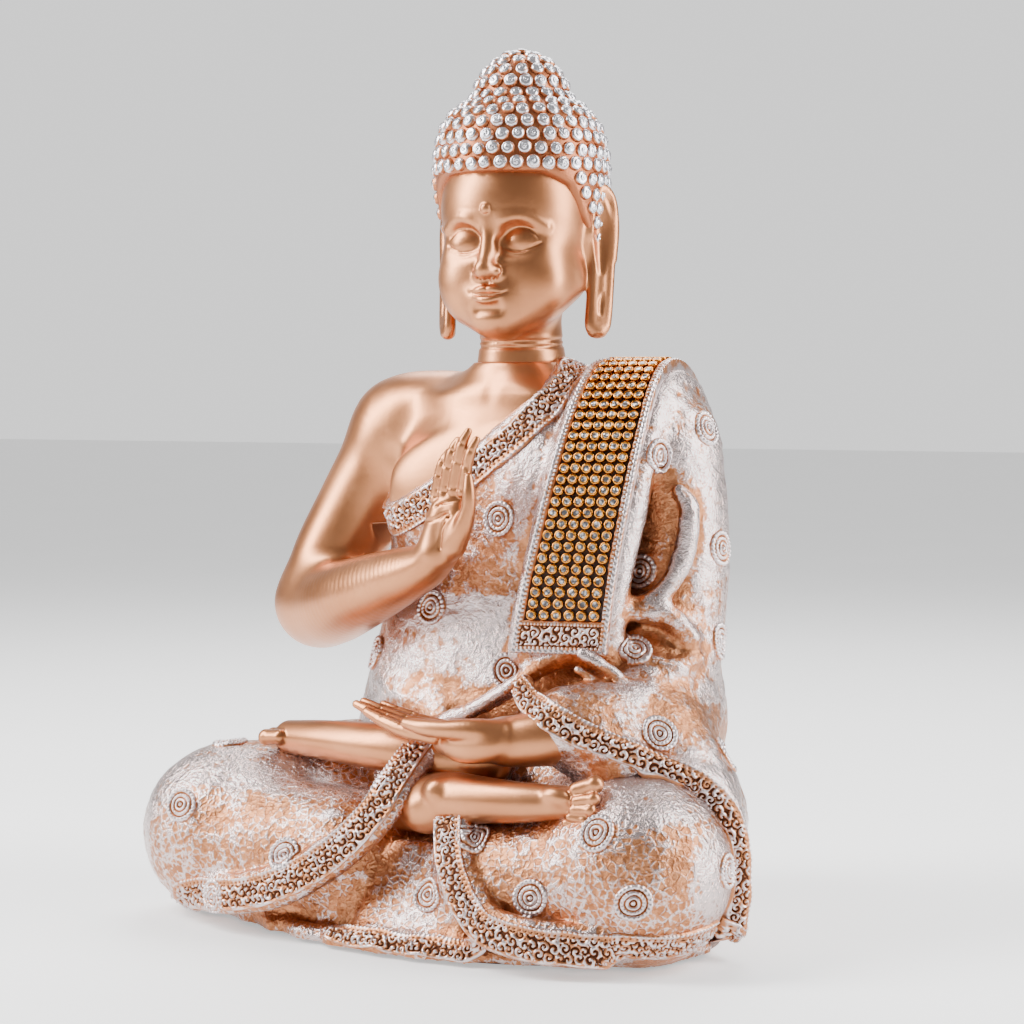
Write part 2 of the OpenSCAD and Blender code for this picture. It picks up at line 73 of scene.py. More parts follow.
class Wiring:
    """Adds nodes to one material. Scales are in turns per metre, on the object's own coordinates."""

    def __init__(self, material, shader):
        self.tree, self.shader = material.node_tree, shader
        self.place = self.node("ShaderNodeTexCoord").outputs["Object"]

    def node(self, kind, links=(), **settings):
        """One node, with a link or a fixed value for each socket."""
        node = self.tree.nodes.new(kind)
        for key, value in settings.items():
            setattr(node, key, value)
        for socket, source in links:
            if hasattr(source, "is_linked"):
                self.tree.links.new(source, node.inputs[socket])
            else:
                node.inputs[socket].default_value = source
        return node

    def noise(self, scale, detail=3.0, rough=0.5, warp=0.0):
        return self.node("ShaderNodeTexNoise",
                         [("Vector", self.place), ("Scale", scale), ("Detail", detail),
                          ("Roughness", rough), ("Distortion", warp)]).outputs["Fac"]

    def cells(self, scale, feature="F1"):
        return self.node("ShaderNodeTexVoronoi", [("Vector", self.place), ("Scale", scale)],
                         feature=feature).outputs["Distance"]

    def sums(self, operation, a, b, c=None):
        links = [(0, a), (1, b)] + ([(2, c)] if c is not None else [])
        return self.node("ShaderNodeMath", links, operation=operation).outputs[0]

    def step(self, value, low, high, to_low=0.0, to_high=1.0):
        """value from low..high to to_low..to_high, eased at both ends."""
        links = [("Value", value), ("From Min", low), ("From Max", high), ("To Min", to_low),
                 ("To Max", to_high)]
        return self.node("ShaderNodeMapRange", links, interpolation_type="SMOOTHSTEP").outputs[0]

    def mix(self, share, a, b):
        node = self.node("ShaderNodeMix", [("Factor", share)], data_type="RGBA")
        for socket, colour in ((6, a), (7, b)):
            if hasattr(colour, "is_linked"):
                self.tree.links.new(colour, node.inputs[socket])
            else:
                node.inputs[socket].default_value = (*colour, 1)
        return node.outputs[2]

    def attribute(self, name):
        return self.node("ShaderNodeAttribute", attribute_name=name).outputs["Fac"]

    def bump(self, height, distance, strength=1.0, below=None):
        links = [("Height", height), ("Distance", distance), ("Strength", strength)]
        if below is not None:
            links.append(("Normal", below))
        return self.node("ShaderNodeBump", links).outputs["Normal"]

    def wire(self, socket, source):
        """Leads a result into one of the shader's sockets."""
        self.tree.links.new(source, self.shader.inputs[socket])


def dress(node, material):
    """Gives a CAD node its finished material."""
    mesh = frame["nodes"][node].data
    mesh.materials.clear()
    mesh.materials.append(material)


def fibre_board_finish():
    material, shader = new_material("pressed_fibre_board", (0.30, 0.19, 0.10), 0.0, 0.85)
    w = Wiring(material, shader)
    fibres = w.noise(900, 4, 0.7)
    w.wire("Base Color", w.mix(w.step(fibres, 0.35, 0.65), (0.22, 0.13, 0.065), (0.42, 0.28, 0.16)))
    w.wire("Normal", w.bump(fibres, 0.0002, 0.6))
    return material


def rubber_finish():
    material, shader = new_material("black_rubber", (0.03, 0.03, 0.03), 0.0, 0.65)
    w = Wiring(material, shader)
    w.wire("Roughness", w.step(w.noise(500), 0.3, 0.7, 0.55, 0.75))
    return material


def felt_finish():
    material, shader = new_material("brown_felt", (0.12, 0.05, 0.03), 0.0, 0.95)
    shader.inputs["Sheen Weight"].default_value = 0.4
    w = Wiring(material, shader)
    wool = w.noise(2200, 5, 0.75, 0.6)
    w.wire("Base Color", w.mix(w.step(wool, 0.3, 0.7), (0.07, 0.028, 0.016), (0.19, 0.085, 0.05)))
    w.wire("Normal", w.bump(wool, 0.0004, 0.8))
    return material


dress("base_board", fibre_board_finish())
dress("base_plug", rubber_finish())
dress("base_felt", felt_finish())


# ---- Bare chest and right shoulder ---------------------------------------------------------------
# The torso is cast in one with the robe. Its bare part is smooth under satin copper paint, and it
# ends at the shoulder, where the right arm is glued on and the joint is filled and painted over.

MM = 0.001
FAR = 9.0


def smooth_line(points, steps):
    """A smooth line through rows of numbers, with that many steps between two of them."""
    p = np.asarray(points, float)
    p = np.vstack([2 * p[0] - p[1], p, 2 * p[-1] - p[-2]])
    t = np.linspace(0, 1, steps, endpoint=False)[:, None]
    spans = []
    for a, b, c, d in zip(p[:-3], p[1:-2], p[2:-1], p[3:]):
        spans.append(b + 0.5 * t * (c - a + t * (2 * a - 5 * b + 4 * c - d + t * (3 * (b - c) + d - a))))
    return np.vstack(spans + [p[-2:-1]])


def rod(a, b):
    """A tapered round rod between two (x, y, z, radius) ends."""
    start, way = a[:3], b[:3] - a[:3]
    thick = max(a[3], b[3])
    square = max(way @ way, 1e-9)

    def distance(x, y, z):
        t = ((x - start[0]) * way[0] + (y - start[1]) * way[1] + (z - start[2]) * way[2]) / square
        t = np.clip(t, 0, 1)
        away = [p - s - t * w for p, s, w in zip((x, y, z), start, way)]
        return np.sqrt(away[0] ** 2 + away[1] ** 2 + away[2] ** 2) - (a[3] + t * (b[3] - a[3]))
    return np.minimum(a[:3], b[:3]) - thick, np.maximum(a[:3], b[:3]) + thick, distance


def limb(points, steps=10):
    """A round limb through (x, y, z, radius) points."""
    line = smooth_line(points, steps)
    return [rod(a, b) for a, b in zip(line[:-1], line[1:])]


def egg(x, y, z, rx, ry, rz, turn=0.0, tip=0.0):
    """An egg, turned in plan by turn and tipped sideways by tip, both in degrees."""
    c, s = math.cos(math.radians(turn)), math.sin(math.radians(turn))
    ct, st = math.cos(math.radians(tip)), math.sin(math.radians(tip))
    middle, reach = np.array([x, y, z], float), max(rx, ry, rz)

    def distance(px, py, pz):
        u, v, w = (px - x) * c + (py - y) * s, (py - y) * c - (px - x) * s, pz - z
        u, w = u * ct + w * st, w * ct - u * st
        share = np.sqrt((u / rx) ** 2 + (v / ry) ** 2 + (w / rz) ** 2)
        slope = np.sqrt((u / rx ** 2) ** 2 + (v / ry ** 2) ** 2 + (w / rz ** 2) ** 2)
        return share * (share - 1) / np.maximum(slope, 1e-4)
    return [(middle - reach, middle + reach, distance)]


def ball(x, y, z, r):
    """A round ball."""
    return egg(x, y, z, r, r, r)


def column(rows, power=2.35, grow=0.0):
    """A solid through level squarish ovals (z, x, y, half width, half depth)."""
    line = smooth_line(sorted(rows), 6)
    z_rows, wide = line[:, 0], max(line[:, 3].max(), line[:, 4].max()) + grow
    low = np.array([-wide - 6, -wide - 6, z_rows[0]])
    high = np.array([wide + 6, wide + 6, z_rows[-1] + grow])

    def distance(x, y, z):
        cx, cy, rx, ry = (np.interp(z, z_rows, line[:, k]) for k in (1, 2, 3, 4))
        rx, ry = rx + grow, ry + grow
        u, v = np.abs(x - cx) / rx, np.abs(y - cy) / ry
        share = (u ** power + v ** power) ** (1 / power)
        slope = np.sqrt((u / rx) ** 2 + (v / ry) ** 2)
        side = share * (share - 1) / np.maximum(slope, 1e-4)
        return np.maximum(side, np.maximum(z - z_rows[-1] - grow, z_rows[0] - z))
    return [(low, high, distance)]


def block(low, high):
    """A square-edged block."""
    low, high = np.array(low, float), np.array(high, float)
    middle, half = (low + high) / 2, (high - low) / 2

    def distance(x, y, z):
        sides = [np.abs(p - m) - h for p, m, h in zip((x, y, z), middle, half)]
        return np.maximum(np.maximum(sides[0], sides[1]), sides[2])
    return [(low, high, distance)]


def melt(a, b, soft):
    """The nearer of two distances, with a fillet about soft millimetres wide between them."""
    near = np.maximum(soft - np.abs(a - b), 0)
    return np.minimum(a, b) - near * near / (4 * soft)


class Clay:
    """Modelling clay: distances in millimetres to the surface on a grid, negative inside."""

    def __init__(self, low, high, grain):
        self.low, self.grain = np.array(low, float), grain
        size = np.ceil((np.array(high) - self.low) / grain).astype(int) + 1
        self.depth = np.full(size, FAR, np.float32)

    def block(self, low, high):
        """The part of the grid between two corners."""
        start = np.clip(np.floor((low - self.low) / self.grain), 0, self.depth.shape).astype(int)
        stop = np.clip(np.ceil((high - self.low) / self.grain) + 1, start, self.depth.shape).astype(int)
        return tuple(slice(a, b) for a, b in zip(start, stop))

    def coordinates(self, block):
        axes = [self.low[k] + self.grain * np.arange(s.start, s.stop) for k, s in enumerate(block)]
        return np.meshgrid(*[a.astype(np.float32) for a in axes], indexing="ij", sparse=True)

    def everywhere(self):
        """The coordinates of the whole grid."""
        return self.coordinates(tuple(slice(0, n) for n in self.depth.shape))

    def field(self, form, reach):
        """A form's distances on the block of grid that it can touch."""
        whole = self.block(np.min([f[0] for f in form], 0) - reach, np.max([f[1] for f in form], 0) + reach)
        field = np.full([s.stop - s.start for s in whole], FAR, np.float32)
        for low, high, distance in form:
            part = self.block(low - reach, high + reach)
            inner = tuple(slice(p.start - w.start, p.stop - w.start) for p, w in zip(part, whole))
            if field[inner].size:
                field[inner] = np.minimum(field[inner], distance(*self.coordinates(part)))
        return whole, field

    def add(self, form, soft=2.0):
        """Adds a form, with a fillet where it meets the clay."""
        where, field = self.field(form, soft + 2 * self.grain)
        if field.size:
            self.depth[where] = melt(self.depth[where], field, soft)

    def cut(self, form, soft=1.0):
        """Cuts a form away, with a rounded edge."""
        where, field = self.field(form, soft + 2 * self.grain)
        if field.size:
            self.depth[where] = -melt(-self.depth[where], field, soft)

    def keep_below(self, lean, height, soft=0.8):
        """Cuts away what is above the plane z = height + lean * (x, y)."""
        x, y, z = self.everywhere()
        above = (z - height - lean[0] * x - lean[1] * y) / math.sqrt(1 + lean[0] ** 2 + lean[1] ** 2)
        self.depth = -melt(-self.depth, -above, soft)

    def sink_past(self, x, way, share):
        """Lets the surface sink by a share of the way past the plane at x, under its neighbour."""
        across = self.everywhere()[0]
        self.depth += (share * np.maximum(way * (across - x), 0)).astype(np.float32)

    def at(self, points):
        """Distances at any points."""
        g = np.clip((points - self.low) / self.grain, 0, np.array(self.depth.shape) - 1.001)
        i = g.astype(int)
        f = g - i
        total = 0
        for corner in np.ndindex(2, 2, 2):
            c = np.array(corner)
            weight = np.prod(np.where(c, f, 1 - f), 1)
            total = total + weight * self.depth[tuple((i + c).T)]
        return total

    def normals(self, points):
        """Outward directions at any points."""
        step = 0.7 * self.grain * np.eye(3)
        slope = np.stack([self.at(points + s) - self.at(points - s) for s in step], 1)
        return slope / np.maximum(np.linalg.norm(slope, axis=1), 1e-9)[:, None]

    def front(self, x, z):
        """The y of the surface seen from -Y at x, z."""
        i = int(round((x - self.low[0]) / self.grain))
        k = int(round((z - self.low[2]) / self.grain))
        row = self.depth[i, :, k]
        j = int(np.argmax(row < 0))
        return self.low[1] + self.grain * (j - row[j] / (row[j] - row[j - 1]))

    def skin(self):
        """Points and quads of the clay's surface."""
        d = self.depth
        solid = d < 0
        n = [s - 1 for s in d.shape]
        count = np.zeros(n, np.uint8)
        corners = list(np.ndindex(2, 2, 2))
        for i, j, k in corners:
            count += solid[i:i + n[0], j:j + n[1], k:k + n[2]]
        cells = np.argwhere((count > 0) & (count < 8))
        place = np.full(n, -1, np.int32)
        place[tuple(cells.T)] = np.arange(len(cells))
        total, hits = np.zeros((len(cells), 3)), np.zeros(len(cells))
        for axis in range(3):
            way = np.eye(3, dtype=int)[axis]
            for corner in (c for c in corners if c[axis] == 0):
                a = d[tuple((cells + corner).T)]
                b = d[tuple((cells + corner + way).T)]
                cross = (a < 0) != (b < 0)
                share = (a[cross] / (a[cross] - b[cross]))[:, None]
                total[cross] += np.array(corner) + share * way
                hits[cross] += 1
        points = self.low + self.grain * (cells + total / hits[:, None])
        quads = []
        for axis in range(3):
            u, v = np.roll(np.eye(3, dtype=int), -axis, 0)[1:]
            low = np.moveaxis(solid, axis, 0)[:-1]
            high = np.moveaxis(solid, axis, 0)[1:]
            at = np.argwhere(np.moveaxis(low != high, 0, axis))
            at = at[(at[:, (axis + 1) % 3] > 0) & (at[:, (axis + 2) % 3] > 0)]
            at = at[(at[:, (axis + 1) % 3] < n[(axis + 1) % 3])
                    & (at[:, (axis + 2) % 3] < n[(axis + 2) % 3])]
            ring = [place[tuple((at - s).T)] for s in (u + v, v, 0 * u, u)]
            quad = np.stack(ring, 1)
            outside_first = ~solid[tuple(at.T)]
            quad[outside_first] = quad[outside_first][:, ::-1]
            quads.append(quad)
        for _ in range(2):
            step = np.clip(self.at(points), -0.5 * self.grain, 0.5 * self.grain)
            points = points - step[:, None] * self.normals(points)
        return points, np.vstack(quads)


def make_piece(name, points, faces, material, slot, node=None):
    """A mesh piece in millimetres, smooth, riding on the body, in place of its CAD node."""
    mesh = bpy.data.meshes.new(name)
    mesh.from_pydata((np.asarray(points) * MM).tolist(), [], np.asarray(faces).tolist())
    mesh.shade_smooth()
    mesh.materials.append(material)
    piece = bpy.data.objects.new(name, mesh)
    bpy.context.scene.collection.objects.link(piece)
    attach(piece, "root")
    if node:
        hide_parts(node)
    return piece


def mark(piece, name, values):
    """Stores a number at each of the mesh's points, for its material."""
    layer = piece.data.attributes.new(name, "FLOAT", "POINT")
    layer.data.foreach_set("value", np.asarray(values, np.float32))


def keep_clay_shading(piece, clay):
    """Shades a piece by the clay's own normals, so that two castings meet without a visible seam."""
    places = np.zeros(len(piece.data.vertices) * 3)
    piece.data.vertices.foreach_get("co", places)
    piece.data.normals_split_custom_set_from_vertices(clay.normals(places.reshape(-1, 3) / MM).tolist())


def copper_skin_finish():
    material, shader = new_material("satin_copper_skin", (0.52, 0.21, 0.09), 0.92, 0.31)
    w = Wiring(material, shader)
    cloud = w.noise(45, 3, 0.55)
    grain = w.noise(1400, 3, 0.6)
    w.wire("Base Color", w.mix(w.step(cloud, 0.3, 0.72), (0.47, 0.185, 0.078), (0.56, 0.235, 0.105)))
    w.wire("Roughness", w.sums("ADD", w.step(cloud, 0.3, 0.7, 0.29, 0.35),
                               w.step(grain, 0.3, 0.7, 0.0, 0.06)))
    w.wire("Normal", w.bump(grain, 0.00005, 0.35))
    return material


grain_share = 1.0
copper_skin = copper_skin_finish()
# where the arm is glued on, and how fast each casting sinks under the other past that plane
shoulder_x = -42
sink_share = 0.04
# the torso: level ovals of height, middle and half sizes
chest_rows = [(30, -1, -1, 60, 43), (55, -1, 3, 56, 40), (78, -1, 5, 52, 37), (100, 0, 6, 47.5, 34),
              (125, 0, 5, 45, 32), (145, 0, 4, 43.5, 29.5), (158, 0, 4, 38.5, 25.5), (168, 0, 3, 29, 21),
              (175, 0, 2, 20, 17), (179, 0, 1, 15, 14.5)]
upper_arm = [(-46, 3, 156, 18), (-54, 0, 143, 16.4), (-61, -4, 130, 15), (-67.5, -9, 114, 14.6),
             (-71, -13, 99, 14)]
shoulder_forms = [(limb([(-20, 3, 163, 13), (-36, 3, 159.5, 17), (-47, 3, 156, 17.5)]), 7),
                  (limb(upper_arm), 6)]
armpit = [(-39, -19, 148, 2.2), (-40, -21, 138, 2.6), (-43, -18, 128, 2.6)]

chest = Clay((-64, -44, 60), (64, 44, 186), 0.9 * grain_share)
chest.add(column(chest_rows))
for form, soft in shoulder_forms:
    chest.add(form, soft)
for side in (-1, 1):
    chest.add(egg(17 * side, -19.5, 138, 19, 5, 14, -8 * side), 10)
    chest.add(limb([(4 * side, -14, 169, 0.8), (18 * side, -13.5, 167, 1), (32 * side, -7, 166, 1)]), 7)
chest.cut(limb(armpit), 5)
chest.sink_past(shoulder_x, -1, sink_share)
chest.cut(block((-90, -60, 50), (shoulder_x - 4, 60, 200)), 0.5)
bare_chest = make_piece("bare_chest", *chest.skin(), copper_skin, "skin_finish", "body_casting")
keep_clay_shading(bare_chest, chest)


# ---- Right arm and raised hand -------------------------------------------------------------------
# A solid casting of its own: upper arm, forearm and the hand held up with the palm to the front.
# A tenon and a steel dowel hold it at the shoulder. Its joints and palm lines are cut in the mould.

forearm = [(-71, -13, 99, 14), (-60, -21, 99.5, 13.6), (-43, -30.5, 104, 12), (-24, -38, 110, 9.6),
           (-9, -42.5, 115, 7.2), (-3.5, -44, 119, 6.2)]
palm_forms = [(egg(0.5, -44.4, 128, 7.6, 4.0, 11, 0, -16), 5),
              (egg(4.2, -45.6, 126, 4.0, 3.4, 8, 0, -8), 2.5),
              (egg(-2.8, -45.4, 127, 2.6, 2.6, 8, 0, -16), 2.5)]
raised_fingers = [
    [(-3.6, -44.2, 136.5, 1.9), (-1.9, -45.0, 143.5, 1.62), (-0.2, -45.4, 147.8, 1.5),
     (1.5, -44.6, 151, 1.15)],
    [(-0.2, -44.6, 138, 2.0), (1.8, -45.4, 145.8, 1.75), (3.6, -45.8, 151.2, 1.6), (5.2, -45, 154.6, 1.2)],
    [(3.4, -44.8, 139, 2.0), (5.5, -45.6, 147.4, 1.8), (7.4, -46, 153.4, 1.62), (9.1, -45.1, 157.3, 1.2)],
    [(6.9, -44.8, 138.6, 2.0), (8.8, -45.6, 146, 1.75), (10.5, -45.8, 151.2, 1.6), (12, -45, 154.8, 1.2)]]
raised_thumb = [(4.6, -46, 122, 3.4), (8.4, -47.2, 128, 3.0), (11, -48, 134, 2.3), (11.4, -48.4, 139, 2.05),
                (11, -48, 143.4, 1.4)]


def crease_fingers(clay, fingers, front):
    """Cuts the joint creases across each finger, on the side that front points to."""
    for finger in fingers:
        for joint in (0, 1, 2):
            start, end = np.array(finger[joint]), np.array(finger[joint + 1])
            middle = start + 0.12 * (end - start)
            along = (end - start)[:3] / np.linalg.norm((end - start)[:3])
            side = np.cross(along, front)
            r = middle[3]
            ends = [middle[:3] + s * r * side + 0.72 * r * np.array(front) for s in (-1, 1)]
            top = middle[:3] + 1.1 * r * np.array(front)
            clay.cut(limb([(*ends[0], 0.26), (*top, 0.34), (*ends[1], 0.26)]), 0.5)


arm = Clay((-92, -58, 82), (22, 26, 180), 0.5 * grain_share)
arm.add(column([row for row in chest_rows if row[0] >= 125]))
for form, soft in shoulder_forms:
    arm.add(form, soft)
arm.cut(limb(armpit), 5)
arm.sink_past(shoulder_x, 1, sink_share)
arm.cut(block((shoulder_x + 4, -60, 60), (60, 60, 200)), 0.5)
arm.cut(block((-50, -60, 100), (60, 60, 126)), 0.5)
arm.add(limb(forearm), 6)
for form, soft in palm_forms:
    arm.add(form, soft)
for finger in raised_fingers:
    arm.add(limb(finger, 6), 0.9)
arm.add(limb(raised_thumb, 6), 1.6)
crease_fingers(arm, raised_fingers, (0, -1, 0))
palm_lines = [[(-6, 133.4), (-1.5, 134.2), (3, 135.6), (7.4, 136.8)],
              [(-5.4, 129.6), (-1, 130.2), (3.4, 132.4), (8, 134)],
              [(8.4, 134), (4.2, 131.4), (1.8, 127), (1.2, 121.4)]]
for line in palm_lines:
    arm.cut(limb([(x, arm.front(x, z) + 0.05, z, 0.36) for x, z in line]), 0.7)
right_arm = make_piece("right_arm_and_hand", *arm.skin(), copper_skin, "skin_finish", "right_arm_casting")
keep_clay_shading(right_arm, arm)


# ---- Upper robe and left sleeve ------------------------------------------------------------------
# Part of the hollow body casting. The robe crosses the chest from the left shoulder, and the left
# sleeve hangs over the forearm in heavy folds. Copper paint, dry-brushed with silver on the grain.

def robe_finish(name, silver_from, foil):
    """Copper paint with silver dragged over what stands proud, foil 0 to 1 for a crushed-foil grain."""
    material, shader = new_material(name, (0.50, 0.20, 0.085), 0.9, 0.36)
    w = Wiring(material, shader)
    clouds = w.noise(36, 3, 0.55, 0.6)
    flecks = w.noise(430, 4, 0.62, 0.9)
    pebbles = w.noise(1100, 3, 0.6, 0.3)
    ridges = w.sums("SUBTRACT", 1.0, w.step(w.cells(430, "DISTANCE_TO_EDGE"), 0.02, 0.22))
    grain = w.sums("ADD", w.sums("ADD", w.sums("MULTIPLY", flecks, 0.8), w.sums("MULTIPLY", pebbles, 0.6)),
                   w.sums("MULTIPLY", ridges, 0.26 * foil))
    dragged = w.sums("ADD", w.sums("ADD", w.attribute("proud"), w.sums("MULTIPLY", clouds, 0.95)),
                     w.sums("MULTIPLY", grain, 0.85))
    silver = w.step(dragged, silver_from - 0.11, silver_from + 0.11)
    copper = w.mix(w.step(flecks, 0.35, 0.62), (0.34, 0.125, 0.05), (0.54, 0.23, 0.105))
    w.wire("Base Color", w.mix(w.sums("MULTIPLY", silver, 0.74), copper, (0.66, 0.60, 0.61)))
    w.wire("Roughness", w.step(silver, 0, 1, 0.36, 0.27))
    w.wire("Normal", w.bump(grain, 0.00055, 0.8))
    return material


def ripple(points, scale, seed):
    """Smooth random waves from -1 to 1 at the points, about scale millimetres long."""
    rng = np.random.default_rng(seed)
    lattice = rng.uniform(-1, 1, (24, 24, 24))
    g = np.asarray(points) / scale
    i = np.floor(g).astype(int)
    f = g - i
    f = f * f * (3 - 2 * f)
    total = 0
    for corner in np.ndindex(2, 2, 2):
        weight = np.prod(np.where(np.array(corner), f, 1 - f), 1)
        total = total + weight * lattice[tuple(((i + corner) % 24).T)]
    return total


def hammer(clay, points, seed):
    """Moves the cloth's points as the wax was worked, and marks how far each one stands proud."""
    normals = clay.normals(points)
    swell, lumps, specks = (ripple(points, size, seed + k) for k, size in enumerate((7, 2.6, 1.5)))
    open_air = np.clip(clay.at(points + 7 * normals) / 7, 0, 1)
    proud = 0.62 * open_air ** 2 + 0.1 * swell + 0.13 * lumps + 0.1 * specks
    return points + (0.3 * swell + 0.17 * lumps + 0.11 * specks)[:, None] * normals, proud


# the line that the shoulder sash lies on, from its lower front end over the shoulder to the back
sash_line = np.array([(37, -37, 90), (38.6, -36.8, 101), (40.4, -35.2, 115), (42.2, -32, 130),
                      (43.6, -27.6, 145),
                      (44.2, -21.6, 158), (44, -14, 169), (43, -4.5, 175.5), (42.5, 6, 176.5),
                      (42, 16, 172), (41, 24, 163), (39.5, 29.5, 150), (38, 32.5, 137)])
# the sash: width at both ends, thickness, the frame round its bed, and the bed for the stones
sash_w, sash_t, sash_frame, bed_depth = (30, 24), 3, 2.6, 1.5
stones_in_row, stone_pitch, bed_from = 28, 3.45, 10
bed_to = bed_from + stones_in_row * stone_pitch + 1
sash_side = np.array([1, 0.28, 0]) / math.hypot(1, 0.28)
run = np.concatenate([[0], np.cumsum(np.linalg.norm(np.diff(sash_line, axis=0), axis=1))])
last = len(sash_line) - 1
ways = np.array([sash_line[min(i + 1, last)] - sash_line[max(i - 1, 0)] for i in range(last + 1)])
ways /= np.linalg.norm(ways, axis=1)[:, None]


def sash_places(s):
    """Points of the strip's back face and its outward direction, s millimetres along it."""
    i = np.clip(np.searchsorted(run, s, "right") - 1, 0, len(run) - 2)
    span = (run[i + 1] - run[i])[:, None]
    t = ((s - run[i])[:, None]) / span
    h = t * t * (3 - 2 * t)
    p = (1 - h) * sash_line[i] + h * sash_line[i + 1] + span * (t * (1 - t) ** 2 * ways[i]
                                                                - t * t * (1 - t) * ways[i + 1])
    way = (1 - t) * ways[i] + t * ways[i + 1]
    out = np.cross(sash_side, way)
    return p, out / np.linalg.norm(out, axis=1)[:, None]


# the planes (lean, height) that the robe's upper edge lies in, and the thickness of its cloth
robe_edges = [((0.589, 0.739), 172), ((0.589, -0.25), 172)]
cloth = 1.7
sleeve_forms = [(limb([(22, 3, 163, 14), (46, 4, 157, 18.5), (52, 5, 140, 17.6), (54, 5, 120, 17),
                       (53, 3, 100, 18), (51, -4, 82, 19)]), 6),
                (limb([(51, -4, 82, 19), (55, -22, 70, 17.5), (50, -40, 68, 15), (46, -47, 69, 12.5)]), 8),
                (limb([(54, 0, 66, 19), (62, -22, 58, 17), (60, -42, 57, 11)]), 8)]
robe_clay = Clay((-64, -76, 3), (104, 48, 184), 0.75 * grain_share)
robe_clay.add(column(chest_rows, grow=cloth))
for form, soft in sleeve_forms:
    robe_clay.add(form, soft)
for side in (-1, 1):
    robe_clay.add(egg(17 * side, -19.5, 138, 19 + cloth, 5 + cloth, 14 + cloth, -8 * side), 10)
for lean, height in robe_edges:
    robe_clay.keep_below(lean, height)
# the sleeve's rolled front edge with the sunk lining beside the sash, and the pocket under it
for line, soft in (([(58, -23, 139, 3.6), (58.8, -22.5, 130, 6), (58, -23, 121, 6.2), (54.5, -25, 112, 5),
                     (50, -28, 105, 3.4)], 2.4),
                   ([(56, -23, 97, 3), (61, -20.5, 97, 3.4), (65, -19, 94.5, 2.6)], 2)):
    robe_clay.cut(limb(line), soft)
for fold, soft in (([(64.5, -12, 139, 2.4), (67, -11, 135, 3.2), (67.6, -11.5, 130, 3.4),
                     (66.4, -13, 119, 3.2), (62, -17, 109, 3), (54, -23, 103.5, 2.4)], 3),
                   ([(52, -24, 102, 2), (58, -20.5, 102, 3), (64, -17, 101, 3.4), (69, -12.5, 94, 3)], 4.5),
                   ([(47, -29, 97, 1.4), (52, -27, 93, 1.8), (58, -24.5, 87, 1.5)], 2.5),
                   ([(60, -24, 88, 1.2), (67, -19, 86, 1.8), (72, -12, 88, 1.2)], 4)):
    robe_clay.add(limb(fold), soft)
# the cloth under the sash, filled out to carry it
backs, outs = sash_places(np.linspace(0, run[-1], 40))
narrowing = np.linspace(1, sash_w[1] / sash_w[0], 40)[:, None]
for w in (-12.5, -6.5, 0, 6.5, 12.5):
    under = backs + w * narrowing * sash_side - 5.7 * outs
    robe_clay.add(limb(np.column_stack([under, np.full(40, 5.5)]), 1), 2.5)
# cloth drawn across the belly, and the hem that rises to the right under the sash
for fold in ([(-44, -8, 84, 1), (-30, -28, 74, 1.8), (-8, -35, 68, 1.6)],
             [(-50, 0, 70, 1), (-36, -26, 62, 2), (-14, -36, 58, 1.6)]):
    robe_clay.add(limb(fold), 8)
hem_rise = [(-20, -40, 60, 2.2), (-4, -41, 66, 2.6), (14, -40, 74, 2.8), (30, -38, 85, 2.8),
            (40, -36, 92, 2.6)]
robe_clay.add(limb(hem_rise), 4)
robe_clay.cut(limb([(8, -42, 64, 3), (24, -42, 73, 4), (38, -41, 82, 4.5), (48, -38, 87, 3)]), 2.5)
seam = [(47, -41, 90), (54, -38, 85.5), (62, -32, 78), (71, -23, 69), (79, -13, 61)]
robe_clay.add(limb([(x, y + 0.6, z + 0.6, 1.9) for x, y, z in seam]), 1.2)
robe_clay.cut(limb([(x - 0.6, y - 1.6, z - 1.9, 0.9) for x, y, z in seam]), 0.8)
robe_clay.add(limb([(x - 1, y - 0.6, z - 4.2, 1.3) for x, y, z in seam]), 1.2)
# the sleeve's hem, thick where the border is laid on it
sleeve_hem = [(31, -50, 79.5), (36, -54, 73), (45, -56.5, 68), (56, -55, 64), (66, -50, 61), (76, -43, 57),
              (85, -36, 52.5), (90, -32, 45), (93, -30, 34), (93, -29, 20), (91, -28, 8)]
robe_clay.add(limb([(x, y + 2, z + 1.5, 3.2) for x, y, z in sleeve_hem]), 4)
robe_clay.add(limb([(66, -24, 62, 14), (76, -26, 54, 12), (82, -24, 44, 11), (82, -22, 30, 9)]), 6)
points, faces = robe_clay.skin()
points, proud = hammer(robe_clay, points, 11)
upper_robe = make_piece("upper_robe_and_sleeve", points, faces, robe_finish("silvered_robe", 1.43, 0.2),
                        "robe_finish", "body_casting")
mark(upper_robe, "proud", proud)


# ---- Crossed legs under the robe -----------------------------------------------------------------
# The lower robe is stretched over both knees and gathered in front. It is part of the body casting,
# thicker at its hems, with the wrinkled grain of crushed foil that holds more of the silver.

legs = Clay((-116, -82, 0.9), (102, 48, 64), 0.85 * grain_share)
legs.add(limb([(-24, -2, 32, 26), (-46, -18, 30.5, 27), (-68, -37, 28, 28), (-82, -49, 27.5, 27)]), 4)
legs.add(limb([(-82, -49, 25, 25), (-58, -53, 24, 23), (-30, -55, 25, 20)]), 6)
legs.add(limb([(24, -2, 32, 26), (42, -22, 31, 27.5), (58, -36, 29.5, 28.5), (68, -44, 29, 28)]), 4)
legs.add(limb([(68, -44, 25, 25), (46, -50, 23, 21.5), (24, -55, 22, 18)]), 6)
legs.add(limb([(-62, -20, 48, 11), (-20, -24, 54, 10), (30, -24, 49, 12)]), 10)
legs.add(column([(-4, -5, -17, 80, 52), (6, -5, -17, 79, 52), (18, -4, -14, 73, 49), (36, -2, -4, 61, 44)],
                2.2), 10)
